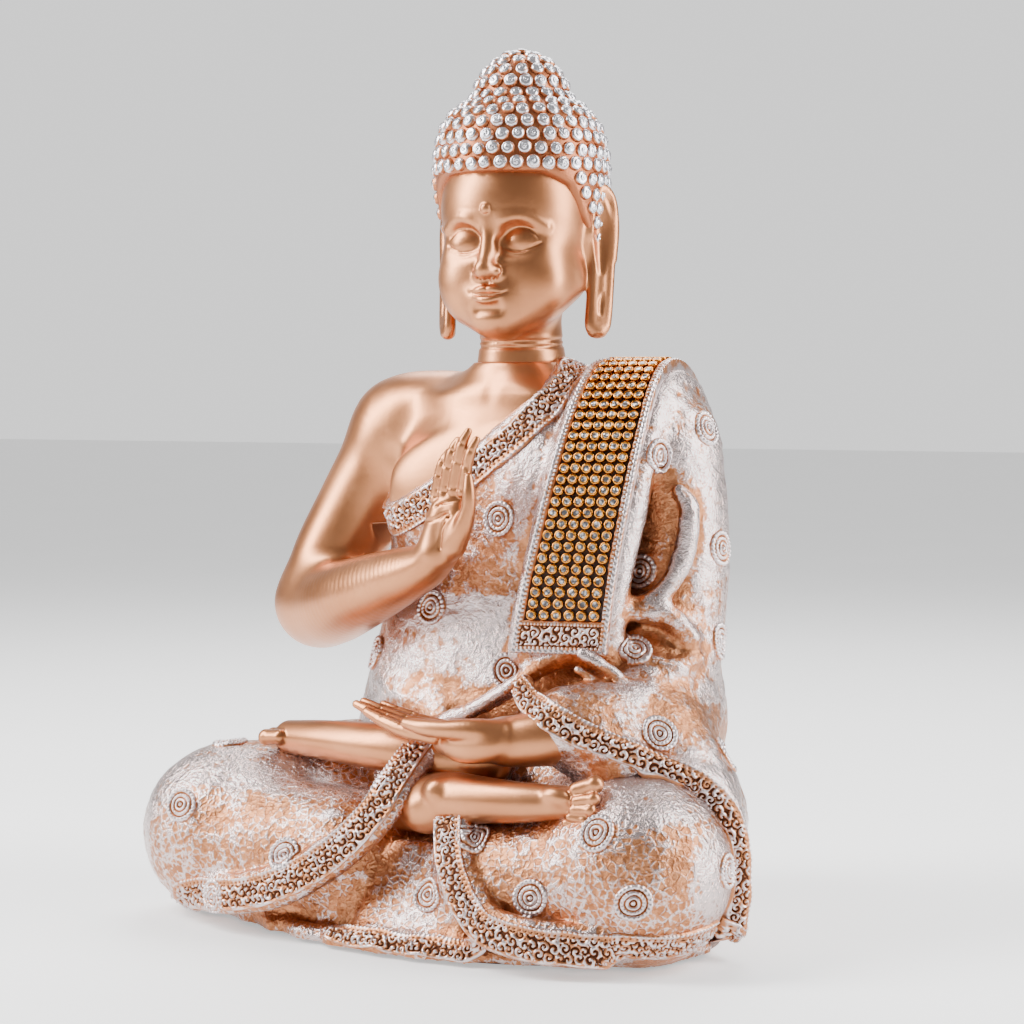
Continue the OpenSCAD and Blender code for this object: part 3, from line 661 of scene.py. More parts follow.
# the gathered cloth between the legs, and the waves of the hem on the ground
for k in range(7):
    x = -13 + 6.2 * k
    legs.add(limb([(x * 0.55, -60, 30, 1.4), (x * 0.8, -65, 16, 2.2), (x, -73, 3, 3)]), 5)
hem_ring = [(-5 + 86 * math.cos(a), -19 + 56.5 * math.sin(a), 2.6, 2.8)
            for a in np.radians(np.arange(-172, -6, 4.0))]
legs.add(limb([(x, y + 1.4 * math.sin(x * 0.42), z, r) for x, y, z, r in hem_ring], 2), 5)
# the two overlapping hems: flaps three strips wide, with the shadow gap beyond the right one
right_hem = [(3, -52, 61), (2, -60, 55), (0, -68, 46.5), (-4, -72.5, 38), (-10.5, -75.5, 30),
             (-20, -78, 22), (-32, -79.5, 15), (-46, -80, 9.5), (-62, -78, 6.5), (-80, -70, 4.5)]
left_hem = [(11, -67, 42), (13, -70, 34), (17, -73.5, 26), (25, -77, 15), (35, -79, 8), (52, -78, 5),
            (70, -71, 4)]


def beside(line, shift):
    """The line moved sideways in the front view, up into the cloth that it edges."""
    p = smooth_line(line, 5)
    way = np.gradient(p, axis=0)
    way /= np.hypot(way[:, 0], way[:, 2])[:, None]
    hand = np.sign(line[-1][0] - line[0][0])
    return p + shift * np.column_stack([-hand * way[:, 2], 0 * way[:, 1], hand * way[:, 0]])


shells = [(beside(edge, shift), rise) for edge in (right_hem, left_hem)
          for shift, rise in ((2, 1.6), (5.5, 1.5), (9, 0.8))]
strips = [[(x, max(min(y + 1, legs.front(x, z)), y - 4) + 3 - rise, z, 3) for x, y, z in line]
          for line, rise in shells]
for strip in strips:
    legs.add(limb(strip, 1), 1.6)
legs.cut(limb([(7, -66, 48, 2), (5, -71, 40, 3), (0, -76, 31, 3), (-9, -80, 21, 2.4)]), 1.5)
for fold in ([(-100, -40, 40, 0.8), (-84, -58, 46, 1.2), (-62, -62, 44, 0.8)],
             [(88, -36, 44, 1), (80, -54, 42, 1.3), (64, -64, 40, 0.8)],
             [(-40, -70, 34, 0.6), (-62, -72, 22, 1.1), (-84, -66, 14, 0.8)],
             [(40, -68, 26, 0.6), (58, -68, 32, 1.0), (76, -60, 30, 0.8)]):
    legs.add(limb(fold), 3)
points, faces = legs.skin()
points, proud = hammer(legs, points, 23)
points[:, 2] = np.maximum(points[:, 2], 1.0)
lower_robe = make_piece("lower_robe", points, faces, robe_finish("silvered_knees", 1.52, 1.0),
                        "robe_finish", "body_casting")
mark(lower_robe, "proud", proud)


# ---- Bare feet ------------------------------------------------------------------------------------
# Cast with the body: the right foot on the left thigh with its sole up, the left one tucked over
# the right thigh. Smooth satin copper like the other skin.

feet = Clay((-78, -80, 26), (76, -28, 72), 0.5 * grain_share)
feet.add(limb([(-10, -50, 42, 9), (2, -57, 44, 8.8), (13, -60.5, 46.5, 8.2), (26, -62.5, 47.6, 7),
               (40, -63, 48.2, 6), (54, -61, 49.2, 4.8)]), 3)
feet.add(egg(11, -66, 49.5, 3.6, 3.2, 3.6), 2.5)
feet.add(egg(4, -61, 42.5, 7, 7, 6.5), 4)
feet.add(egg(52.5, -65, 51.5, 4.2, 2.6, 2.6, 0, -10), 2)
# each toe: from its root to its tip, and how thick it is
toes = [((58, -62.6, 53.4), (63.6, -61.6, 55.4), 2.35), ((59, -64.4, 50.5), (64.6, -64, 51.6), 1.75),
        ((58.6, -65.2, 48), (64, -65, 48.3), 1.6), ((57.4, -65.2, 45.8), (62.2, -65, 45.4), 1.45),
        ((55.6, -64.6, 43.8), (60, -64.6, 42.8), 1.35)]
for start, end, r in toes:
    feet.add(limb([(*start, r), (*end, r)], 3), 0.5)
    feet.add(ball(*end, r * 1.15), 0.3)
feet.add(limb([(16, -46, 56, 8), (-8, -49, 58, 8), (-26, -49, 58.4, 7.2), (-44, -47, 58.4, 6.4),
               (-60, -44.5, 58, 5.4)]), 3)
for k in range(5):
    end = np.array((-66 + 0.9 * k, -49.5 + 2.7 * k, 58 + 0.5 * k))
    feet.add(limb([(*(end + (6, -0.6, 0.6)), 2.5 - 0.18 * k), (*end, 2.4 - 0.2 * k)], 3), 0.6)
    feet.add(ball(*end, 2.7 - 0.2 * k), 0.3)
make_piece("bare_feet", *feet.skin(), copper_skin, "skin_finish", "body_casting")


# ---- Left hand in the lap --------------------------------------------------------------------------
# A small casting of its own, palm up, whose spigot is glued into the sleeve's cuff over a thin
# dowel. The thumb lies along the near side of the palm.

lap_clay = Clay((-30, -76, 52), (56, -40, 82), 0.42 * grain_share)
lap_clay.add(limb([(52, -46, 68, 9), (42, -53, 66.5, 8.6), (32, -57.5, 65, 7.6)]), 4)
lap_clay.add(egg(20, -60, 64.6, 13.5, 7.2, 6, 0, 6), 5)
lap_clay.add(egg(24, -64.6, 64, 10, 4.4, 5.2, 0, 10), 3)
lap_clay.cut(egg(10, -60.5, 71.4, 9, 3.8, 3), 2.5)
lap_fingers = [[(10, -66, 66, 2.5), (0, -66.4, 67, 2.3), (-8, -65.6, 69, 2), (-16, -64, 71.4, 1.3)],
               [(10, -63, 66.8, 2.5), (-2, -63.2, 68, 2.3), (-12, -62.4, 70.2, 2), (-22, -61, 73, 1.3)],
               [(10, -60, 67.2, 2.5), (-2, -60, 68.6, 2.3), (-12, -59.4, 70.8, 2), (-21, -58.4, 73.6, 1.3)],
               [(10, -57, 67.4, 2.2), (0, -57, 69, 2), (-8, -56.8, 70.8, 1.8), (-15, -56.4, 73, 1.2)]]
for finger in lap_fingers:
    lap_clay.add(limb(finger, 6), 0.7)
thumb = [(31, -62, 67.5, 4.6), (24, -66.6, 68.8, 3.6), (16, -69, 68.8, 2.8), (9, -69.6, 69, 2.5),
         (2, -69, 69.8, 1.6)]
lap_clay.add(limb(thumb, 6), 1.2)
crease_fingers(lap_clay, lap_fingers, (0, 0, 1))
make_piece("left_hand_in_lap", *lap_clay.skin(), copper_skin, "skin_finish", "lap_hand_casting")


# ---- Borders on the robe --------------------------------------------------------------------------
# The robe's edges are cast with a lace of small scrolls between beaded ropes, about a millimetre proud. The
# hollows are coloured dark as painted shade, the strands are copper, and their tops are silvered.

def lace_finish(name, silver_from):
    """Dark painted shade in the hollows, copper on the strands and silver on their tops, by the relief
    mark.
    """
    material, shader = new_material(name, (0.55, 0.27, 0.14), 0.85, 0.4)
    w = Wiring(material, shader)
    patchy = w.sums("MULTIPLY", w.sums("SUBTRACT", w.noise(230, 3), 0.5), 0.9)
    level = w.sums("ADD", w.attribute("relief"), patchy)
    # copper on the strands, turning to dark painted shade where the relief is low
    metal = w.mix(w.step(w.attribute("relief"), 0.06, 0.4), (0.075, 0.024, 0.01), (0.50, 0.205, 0.09))
    silver = w.step(level, silver_from, silver_from + 0.26)
    w.wire("Base Color", w.mix(w.sums("MULTIPLY", silver, 0.85), metal, (0.70, 0.65, 0.67)))
    w.wire("Roughness", w.step(w.attribute("relief"), 0.1, 0.7, 0.62, 0.28))
    w.wire("Normal", w.bump(w.noise(1700, 3), 0.00015, 0.6))
    return material


class Surface:
    """The cloth that trimmings are laid on: nearest points and outward normals, in millimetres."""

    def __init__(self, pieces):
        self.trees = []
        for piece in pieces:
            mesh = piece.data
            corners = np.zeros(len(mesh.vertices) * 3)
            mesh.vertices.foreach_get("co", corners)
            faces = np.zeros(len(mesh.polygons) * 4, int)
            mesh.polygons.foreach_get("vertices", faces)
            self.trees.append(BVHTree.FromPolygons((corners.reshape(-1, 3) / MM).tolist(),
                                                   faces.reshape(-1, 4).tolist()))

    def nearest(self, points):
        found, outward = [], []
        for point in points.reshape(-1, 3):
            hits = [tree.find_nearest(point) for tree in self.trees]
            place, normal, _, _ = min((h for h in hits if h[0]), key=lambda h: h[3])
            found.append(place)
            outward.append(normal)
        return np.array(found).reshape(points.shape), np.array(outward).reshape(points.shape)


def resample(line, gap):
    """A line's points again, gap apart, and the length run at each."""
    run = np.concatenate([[0], np.cumsum(np.linalg.norm(np.diff(line, axis=0), axis=1))])
    at = np.linspace(0, run[-1], max(3, int(run[-1] / gap) + 1))
    return np.stack([np.interp(at, run, line[:, k]) for k in range(3)], 1), at


def even(rows, passes):
    """Softens a grid of points or normals along and across."""
    for _ in range(passes):
        for axis in (0, 1):
            wide = np.concatenate([rows.take([0], axis), rows, rows.take([-1], axis)], axis)
            n = rows.shape[axis]
            rows = (wide.take(range(n), axis) + 2 * rows + wide.take(range(2, n + 2), axis)) / 4
    return rows


def scrolls(u, v, half, seed):
    """Heights from 0 to 1 of packed curls of wire, u along and v across a field of that half width."""
    rng = np.random.default_rng(seed)
    rows = max(1, round(2 * half / 3.1))
    middles = [(s + 1.5 * (r % 2) + rng.uniform(-0.9, 0.9),
                (r + 0.5) * 2 * half / rows - half + rng.uniform(-0.6, 0.6))
               for r in range(rows) for s in np.arange(u.min() - 2, u.max() + 2, 3.0)]
    middles, hands = np.array(middles), rng.choice([-1, 1], len(middles))
    start, wound = rng.uniform(0, 6.28, len(middles)), rng.uniform(1.2, 2.1, len(middles))
    best = np.full(u.shape, 99.0)
    height = np.zeros(u.shape)
    for k, (mu, mv) in enumerate(middles):
        near = np.abs(u - mu) < 4
        du, dv = u[near] - mu, v[near] - mv
        r = np.hypot(du, dv)
        wave = 0.5 + 0.5 * np.cos(2 * math.pi * r / wound[k] - hands[k] * np.arctan2(dv, du) + start[k])
        closer = r < best[near]
        height[near] = np.where(closer, wave, height[near])
        best[near] = np.minimum(best[near], r)
    return np.clip(height * 1.7 - 0.35, 0, 1) * (np.abs(v) < half)


def ridge(distance, half):
    """The height of a round ridge, 0 to 1, at a distance from its middle line."""
    return np.sqrt(np.clip(1 - (distance / half) ** 2, 0, 1))


def lace_heights(u, v, width, seed):
    """Heights of a border band in millimetres and its relief marks, its free edge on the high side."""
    edge = width / 2
    hem = ridge(v - edge + 0.8, 0.85) * 0.62
    cord = ridge(v + edge - 0.6, 0.6) * (0.72 + 0.2 * np.cos(2 * math.pi * u / 1.5))
    wire = scrolls(u, v, edge - 1.3, seed) * (0.75 + 0.25 * np.cos(1.7 * u + 2 * np.sin(0.8 * u) + 1.9 * v))
    drilled = np.exp(-((v + edge - 1.9) ** 2 + (np.mod(u, 1.8) - 0.9) ** 2) / 0.09)
    relief = np.maximum(np.maximum(hem, cord), np.where(v < -edge + 2.7, 0.5, wire)) - 0.6 * drilled
    return 0.25 + 1.05 * np.clip(relief, -0.4, 1), np.clip(relief, 0, 1)


def band_mesh(surface, line, width, heights, seed, gap=1.3, fine=0.3):
    """A band with a relief, laid on the cloth along a line, as points, faces and relief marks."""
    middle, run = resample(line, gap)
    middle, up = surface.nearest(middle)
    middle, up = even(middle[:, None], 2)[:, 0], even(up[:, None], 2)[:, 0]
    along = np.gradient(middle, axis=0)
    side = np.cross(up, along)
    side /= np.linalg.norm(side, axis=1)[:, None]
    across = np.linspace(-width / 2 - 0.2, width / 2 + 0.2, 9)
    places, up = surface.nearest(middle[:, None] + across[None, :, None] * side[:, None])
    places, up = even(places, 1), even(up, 2)
    us = np.linspace(0, run[-1], max(3, int(run[-1] / (fine * grain_share))))
    vs = np.linspace(across[0], across[-1], max(5, int(width / (fine * grain_share))))

    def finer(rows):
        rows = np.stack([[np.interp(vs, across, line[:, k]) for k in range(3)]
                         for line in rows]).transpose(0, 2, 1)
        index = np.interp(us, run, np.arange(len(run)))
        low = np.clip(index.astype(int), 0, len(run) - 2)
        share = (index - low)[:, None, None]
        return rows[low] * (1 - share) + rows[low + 1] * share
    u, v = np.meshgrid(us, vs, indexing="ij")
    height, relief = heights(u, v, width, seed)
    rim = (np.abs(v) > width / 2 - 0.05) | (u < us[1] * 0.5) | (u > us[-2] + us[1] * 0.5)
    height, relief = np.where(rim, -0.7, height), np.where(rim, 0.3, relief)
    normal = finer(up)
    normal /= np.linalg.norm(normal, axis=2)[..., None]
    points = finer(places) + height[..., None] * normal
    index = np.arange(u.size).reshape(u.shape)
    faces = np.stack([index[:-1, :-1], index[1:, :-1], index[1:, 1:], index[:-1, 1:]], -1).reshape(-1, 4)
    return points.reshape(-1, 3), faces, relief.ravel()


def join_up(parts):
    """Several meshes as one: points, faces and marks."""
    counts = np.cumsum([0] + [len(p[0]) for p in parts])
    return (np.vstack([p[0] for p in parts]), np.vstack([p[1] + n for p, n in zip(parts, counts)]),
            np.concatenate([p[2] for p in parts]))


def robe_edge(drop):
    """The line on the robe that runs all round, drop millimetres below its diagonal edge."""
    turns = np.radians(np.arange(-180, 181, 2.0))
    reach = np.linspace(72, 8, 260)
    out = np.stack([np.sin(turns), -np.cos(turns)], 1)
    line = []
    for way in out:
        flat = np.array([0, 4]) + reach[:, None] * way
        z = np.min([height + flat @ np.array(lean) for lean, height in robe_edges], 0) - drop
        trail = np.column_stack([flat, z])
        inside = robe_clay.at(trail) < 0
        if inside.any() and 60 < z[np.argmax(inside)] < 182:
            line.append(trail[np.argmax(inside)])
    return np.array(line)


robe_surface = Surface([upper_robe, lower_robe])
lace = lace_finish("lace_with_painted_shade", 0.44)
border_w = 11
borders = {
    "chest_border": [robe_edge(border_w * 0.56)],
    "sleeve_border": [smooth_line([(94, -30, 5), (96, -30, 20), (96, -31, 34), (92, -34, 46),
                                   (85, -39, 54.5), (76, -45, 60),
                                   (66, -52, 65), (56, -57, 69), (46, -58, 73.5), (36, -55, 78),
                                   (29, -50, 82)], 8)],
    "right_leg_border": [np.vstack([beside(right_hem, 5.6),
                                    smooth_line([(-88, -60, 7.5), (-98, -48, 7.5), (-103, -38, 7)], 8)])],
    "left_leg_border": [np.vstack([beside(left_hem, 5.2),
                                   smooth_line([(82, -64, 8), (91, -53, 7.5), (97, -38, 7)], 8)])[::-1]],
    "front_hem_border": [smooth_line([(33, -78, 5.4), (22, -78, 5.4), (14, -77.5, 5.4), (6, -80, 5.6),
                                      (-3, -78, 5.4), (-13, -79, 5.6), (-24, -75, 5.4)], 6)],
    "back_hem_border": [smooth_line([(-103, -36, 6), (-98, -12, 6), (-80, 16, 6), (-50, 32, 6),
                                     (-5, 38, 6), (40, 32, 6),
                                     (70, 16, 6), (88, -8, 6), (97, -36, 6)], 10)]}
widths = {"front_hem_border": 8, "back_hem_border": 8, "sleeve_border": 9.5}
for seed, (name, lines) in enumerate(borders.items()):
    parts = [band_mesh(robe_surface, line, widths.get(name, border_w), lace_heights, 40 + seed)
             for line in lines]
    points, faces, relief = join_up(parts)
    points[:, 2] = np.maximum(points[:, 2], 1.0)
    band = make_piece(name, points, faces, lace, "border_finish", "body_casting")
    mark(band, "relief", relief)


# ---- Medallions on the robe -------------------------------------------------------------------------
# Round ornaments of rope rings about a button, 12 mm across and a millimetre proud. They are scattered
# over the whole robe and take the most silver on their outer rope.

def across_from(out, toward):
    """Two directions square to out and to each other, the second one toward a given way."""
    side = np.cross(out, toward)
    side /= np.linalg.norm(side)
    return side, np.cross(side, out)


def circle(angle, side, rise):
    """Points of a unit circle between two directions."""
    return np.cos(angle)[..., None] * side + np.sin(angle)[..., None] * rise


def round_faces(rings, turns):
    """Faces between closed rings, from the outer one to the middle."""
    index = np.arange(rings * turns).reshape(rings, turns)
    after = np.roll(index, -1, 1)
    return np.stack([index[:-1], after[:-1], after[1:], index[1:]], -1).reshape(-1, 4)


def medallion_mesh(surface, centre, r, seed):
    """One ornament laid on the cloth nearest to the centre."""
    rng = np.random.default_rng(seed)
    place, up = surface.nearest(np.array([centre], float))
    away = place[0] + np.array([(dx, dy, dz) for dx in (-3, 0, 3) for dy in (-3, 0, 3)
                                for dz in (-3, 0, 3)])
    up = surface.nearest(away)[1].sum(0)
    up /= np.linalg.norm(up)
    side, rise = across_from(up, (0.3, 0.2, 1))
    ring, around = max(9, int(24 / grain_share)), max(24, int(84 / grain_share))
    rho = np.linspace(r, 0.01, ring)[:, None]
    angle = np.linspace(0, 2 * math.pi, around, endpoint=False)[None] + 0 * rho
    squash = 1 + 0.05 * np.cos(angle * 2 + rng.uniform(0, 6))
    grid = place[0] + (rho * squash)[..., None] * circle(angle, side, rise)
    places, ups = surface.nearest(grid)
    ups = ups + 1.5 * up
    ups /= np.linalg.norm(ups, axis=2)[..., None]
    beads = 0.74 + 0.26 * np.cos(22 * angle + rng.uniform(0, 6))
    twist = 0.85 + 0.15 * np.cos(18 * angle + 2 * rho)
    share = rho / r + 0.012 * np.cos(3 * angle + rng.uniform(0, 6))
    relief = np.maximum.reduce([ridge(share - 0.84, 0.14) * beads, 0.8 * ridge(share - 0.53, 0.11) * twist,
                                0.75 * ridge(share - 0.28, 0.085), 0.95 * ridge(share, 0.12)])
    height = np.where(rho > 0.995 * r, -0.7, 0.15 + 1.1 * relief)
    points = places + height[..., None] * ups
    return points.reshape(-1, 3), round_faces(ring, around), 0.16 + 0.84 * relief.ravel()


medallions = [
    # chest and waist
    (10, -28, 130), (-16, -30, 101), (15, -33, 83), (-43, -20, 84),
    # sleeve, from the shoulder to its hem
    (62, -14, 149), (51, -13, 114), (56, -25, 91), (72, -38, 68), (66, 2, 158), (72, 4, 121), (73, 4, 92),
    (84, -18, 60),
    # right knee
    (-81, -74, 38), (-39, -77, 27), (-82, -48, 54), (-104, -36, 34), (-66, -80, 11), (-88, -20, 44),
    # between the legs and on the left knee
    (9, -72, 20), (24, -66, 36), (48, -74, 22), (80, -68, 24), (68, -67, 42), (97, -40, 30), (72, -14, 54),
    # back
    (-28, 38, 132), (8, 40, 118), (-26, 42, 84), (30, 42, 74), (0, 44, 48), (-50, 32, 48), (52, 28, 46),
    (36, 34, 112)]
medallion_r = 5.9
# the lace finish colours the low grooves between their rings dark, as painted shade
parts = [medallion_mesh(robe_surface, centre, medallion_r, 70 + k) for k, centre in enumerate(medallions)]
points, faces, relief = join_up(parts)
rosettes = make_piece("robe_medallions", points, faces, lace_finish("silvered_medallions", 0.36),
                      "border_finish", "body_casting")
mark(rosettes, "relief", relief)


# ---- Shoulder sash ------------------------------------------------------------------------------------
# A cast strip with a sunk bed for the stone chains, glued into a seat over the left shoulder. Its
# edges are a rope and a row of beads, and panels of lace close it below and run on down the back.

fine = 0.3 * grain_share
s = np.linspace(0, run[-1], int(run[-1] / fine))
across = np.linspace(-1, 1, int(sash_w[0] / fine))
half = (sash_w[0] + (sash_w[1] - sash_w[0]) * np.minimum(1, s / bed_to)) / 2
p, out = sash_places(s)
# S runs along the strip and W across it, in millimetres; inset is the way in from its long edges
S, V = np.meshgrid(s, across, indexing="ij")
W = V * half[:, None]
inset = half[:, None] - np.abs(W)
ends = np.minimum(S, run[-1] - S)
from_rim = np.minimum(inset, ends)
rope = ridge(from_rim - 0.7, 0.68) * (0.6 + 0.4 * np.cos(2 * math.pi * (S + W) / 1.7))
beads = ridge(from_rim - 1.78,
              0.46) * (0.6 + 0.4 * np.cos(2 * math.pi * np.where(inset < ends, S, W) / 1.3))
panel_low = ridge(S - 9, 0.5) * (0.6 + 0.4 * np.cos(2 * math.pi * W / 1.05)) * (inset > 2.2)
lacework = np.where(((S > 2.6) & (S < 8.2)) | (S > bed_to + 2.5), scrolls(S, W, 40, 9),
                    0) * (inset > 2.5) * (ends > 2.5)
relief = np.maximum.reduce([rope, 0.9 * beads, 0.9 * panel_low, 0.9 * lacework])
height = sash_t - 0.25 + 0.6 * relief
sunk = (inset > sash_frame) & (S > bed_from) & (S < bed_to)
strip = (inset > 2.2) & ~sunk & (((S > 9.5) & (S < bed_from)) | ((S > bed_from) & (S < bed_to + 1.5)))
height = np.where(strip, sash_t, height)
relief = np.where(strip, 0.42, relief)
height = np.where(sunk, sash_t - bed_depth, height)
relief = np.where(sunk, 0.0, relief)
relief = np.where(from_rim < 1.35, 0.5 + 0.5 * rope, relief)
top = p[:, None] + W[..., None] * sash_side + height[..., None] * out[:, None]
foot = p[:, None] + W[..., None] * sash_side - 0.3 * out[:, None]
grid = top.reshape(-1, 3)
index = np.arange(S.size).reshape(S.shape)
faces = [np.stack([index[:-1, :-1], index[:-1, 1:], index[1:, 1:], index[1:, :-1]], -1).reshape(-1, 4)]
rim = np.concatenate([index[0, :], index[1:, -1], index[-1, -2::-1], index[-2:0:-1, 0]])
below = np.arange(len(rim)) + S.size
grid = np.vstack([grid, foot.reshape(-1, 3)[rim]])
faces.append(np.stack([rim, below, np.roll(below, -1), np.roll(rim, -1)], -1))
# the lace finish colours the sunk bed and the low parts of the lacework dark, as painted shade
sash = make_piece("shoulder_sash_cast", grid, np.vstack(faces), lace, "border_finish", "shoulder_sash")
mark(sash, "relief", np.concatenate([relief.ravel(), np.full(len(rim), 0.75)]))


# ---- Stone chains and their bed -----------------------------------------------------------------------
# Six lengths of bought cup chain: pressed, gold-plated brass cups on short links, each with a foiled
# glass stone. They are laid in dark brown glue on the floor of the sash's bed.

def gold_finish():
    material, shader = new_material("gold_plated_cups", (0.76, 0.31, 0.05), 1.0, 0.24)
    w = Wiring(material, shader)
    wear = w.noise(900, 3)
    w.wire("Base Color", w.mix(w.step(wear, 0.35, 0.7), (0.60, 0.22, 0.03), (0.84, 0.36, 0.06)))
    w.wire("Roughness", w.step(wear, 0.3, 0.7, 0.16, 0.32))
    return material


def stone_finish():
    """Foiled glass: bright and dark glints of the facets painted into its colour, without the foil itself.
    """
    material, shader = new_material("foiled_glass_stones", (0.85, 0.87, 0.9), 0.55, 0.06)
    shader.inputs["Coat Weight"].default_value = 1.0
    shader.inputs["Coat Roughness"].default_value = 0.02
    w = Wiring(material, shader)
    glints = w.cells(900)
    # painted glints: bright and dark facet reflections laid into the base colour
    w.wire("Base Color", w.mix(w.step(glints, 0.25, 0.6), (0.62, 0.61, 0.62), (0.12, 0.115, 0.12)))
    w.wire("Normal", w.bump(glints, 0.0005, 0.8))
    return material


def glue_finish():
    material, shader = new_material("dark_brown_glue", (0.035, 0.014, 0.007), 0.0, 0.5)
    w = Wiring(material, shader)
    lumps = w.noise(600, 3)
    w.wire("Roughness", w.step(lumps, 0.3, 0.7, 0.35, 0.65))
    w.wire("Normal", w.bump(lumps, 0.0003, 0.6))
    return material


def bezel_mesh(centre, out):
    """The rolled rim of one cup, pressed over its stone's girdle."""
    across = sash_side - (sash_side @ out) * out
    across /= np.linalg.norm(across)
    rise = np.cross(out, across)
    turn = np.linspace(0, 2 * math.pi, 24, endpoint=False)[:, None]
    bend = np.linspace(0, 2 * math.pi, 8, endpoint=False)[None, :]
    reach = 1.2 + 0.42 * np.cos(bend) + 0 * turn
    grid = (centre + reach[..., None] * circle(turn, across, rise)
            + (0.4 * np.sin(bend) + 0 * turn)[..., None] * out)
    index = np.arange(192).reshape(24, 8)
    side, after = np.roll(index, -1, 1), np.roll(index, -1, 0)
    faces = np.stack([index, after, np.roll(after, -1, 1), side], -1).reshape(-1, 4)
    return grid.reshape(-1, 3), faces, np.zeros(192)


dress("stone_bed", glue_finish())
gold, stones = gold_finish(), stone_finish()
bezels = []
backs, outs = sash_places(np.linspace(0, run[-1], 900))
for k in range(1, 7):
    dress(f"cup_chain_{k}", gold)
    dress(f"rhinestones_{k}", stones)
    corners = np.array([v.co[:] for v in bpy.data.objects[f"rhinestones_{k}"].data.vertices]) / MM
    for stone in corners.reshape(stones_in_row, -1, 3):
        centre = stone.mean(0)
        nearest = np.argmin(np.linalg.norm(np.cross(backs - centre, sash_side), axis=1))
        out = outs[nearest]
        heights = (stone - centre) @ out
        centre = centre + (heights.max() - 0.42) * out
        bezels.append(bezel_mesh(centre, out))
points, faces, _ = join_up(bezels)
make_piece("cup_rims", points, faces, gold, "gold_cups")


# ---- Dowels --------------------------------------------------------------------------------------------
# Plain steel pins in epoxy through the neck, the shoulder and the lap hand's wrist. They are inside
# the castings and never seen on the finished statue.

def steel_finish():
    material, shader = new_material("drawn_steel", (0.56, 0.56, 0.58), 1.0, 0.35)
    w = Wiring(material, shader)
    w.wire("Roughness", w.step(w.noise(1200), 0.3, 0.7, 0.28, 0.42))
    return material


steel = steel_finish()
for pin in ("neck_dowel", "arm_dowel", "hand_dowel"):
    dress(pin, steel)


# ---- Head: face, ears and neck --------------------------------------------------------------------
# A solid casting glued on at the neck. The face is a plain, calm one on the usual divisions: brow,
# nose and chin a third apart, each eye a fifth of the width. The long ear lobes are cast with it.

hairline_z, chin_z = 238, 189
third = (hairline_z - chin_z) / 3
brow_z, nose_z = hairline_z - third, chin_z + third
eye_z = brow_z - 0.3 * third
mouth_z = nose_z - third / 3
half_face = 21
eye_x, eye_half = 0.44 * half_face, 0.29 * half_face

head = Clay((-33, -34, 170), (33, 30, 264), 0.5 * grain_share)
head.add(egg(0, 0.5, 232, 24.6, 25.2, 29), 1)
head.add(egg(0, -5, 213.5, half_face, 19.6, 25), 9)
head.add(column([(172, 0, 1, 15.4, 14.8), (178, 0, 1, 14.5, 14.2), (187, 0, 0.5, 13.3, 13.4),
                 (197, 0, -1, 13.2, 13.6), (208, 0, -3, 15, 14)], 2.1), 4)
for side in (-1, 1):
    head.add(limb([(3 * side, -18, 194, 5.2), (11 * side, -13.5, 197.5, 6), (17 * side, -4, 205, 6.5)]), 7)
    head.add(egg(10.5 * side, -14.9, 206, 9.5, 8, 10), 9)
head.add(egg(0, -18.2, 194, 7, 5.6, 5.6), 7)
head.add(egg(0, -9, 229, 19, 16.6, 15), 8)


def on_face(points):
    """Seats (x, z, sink, radius) points on the face, sunk in by sink."""
    return [(x, head.front(x, z) + sink, z, r) for x, z, sink, r in points]


def eye_line(side, rows):
    """A line on the face through (out, up, sink, radius) rows from the middle of an eye."""
    return limb(on_face([(side * (eye_x + out), eye_z + up, sink, r) for out, up, sink, r in rows]))


under_lid = [(-5.2, -2.0, 0.1, 0.4), (-2.6, -3.3, 0.1, 0.55), (0.4, -3.8, 0.1, 0.6), (3.2, -3.2, 0.1, 0.55),
             (5.6, -1.6, 0.1, 0.4)]
lid_gap = [(-5.6, -1.7, 0.05, 0.35), (-2.8, -2.7, 0.05, 0.6), (0.4, -3.1, 0.05, 0.65),
           (3.4, -2.6, 0.05, 0.6), (6.6, -0.9, 0.05, 0.4)]
lid_fold = [(-5.0, 1.4, 0, 0.25), (-2.4, 3.5, 0, 0.34), (0.6, 4.2, 0, 0.36), (3.6, 3.5, 0, 0.34),
            (6.0, 1.2, 0, 0.25)]

for side in (-1, 1):
    x = side * eye_x
    head.cut(egg(x, head.front(x, eye_z) - 0.6, eye_z + 0.6, eye_half * 1.35, 3.6, third * 0.3), 4)
for side in (-1, 1):
    head.add(limb(on_face([(side * 2.6, brow_z - 1.4, 0.7, 0.9), (side * 6, brow_z + 1.6, 0.6, 1.0),
                           (side * 11, brow_z + 2.4, 0.6, 1.0), (side * 17, brow_z - 0.6, 0.7, 0.9)])), 2.4)
head.add(limb([(0, -23.4, 222, 2.0), (0, -25.2, 216, 2.1), (0, -27.2, 211, 2.4),
               (0, -28.4, nose_z + 2.6, 2.7)]), 3.2)
for side in (-1, 1):
    x = side * eye_x
    head.add(egg(x, head.front(x, eye_z) + 2.2, eye_z - 0.2, eye_half * 1.05, 4.1, third * 0.285), 1.3)
    head.add(eye_line(side, under_lid), 0.9)
    head.cut(eye_line(side, lid_gap), 0.4)
    head.cut(eye_line(side, lid_fold), 0.8)
    head.add(egg(3.2 * side, -25.6, nose_z + 1.5, 2.2, 2.6, 1.9), 1.6)
head.add(ball(0, -28.6, nose_z + 2.2, 2.6), 2)
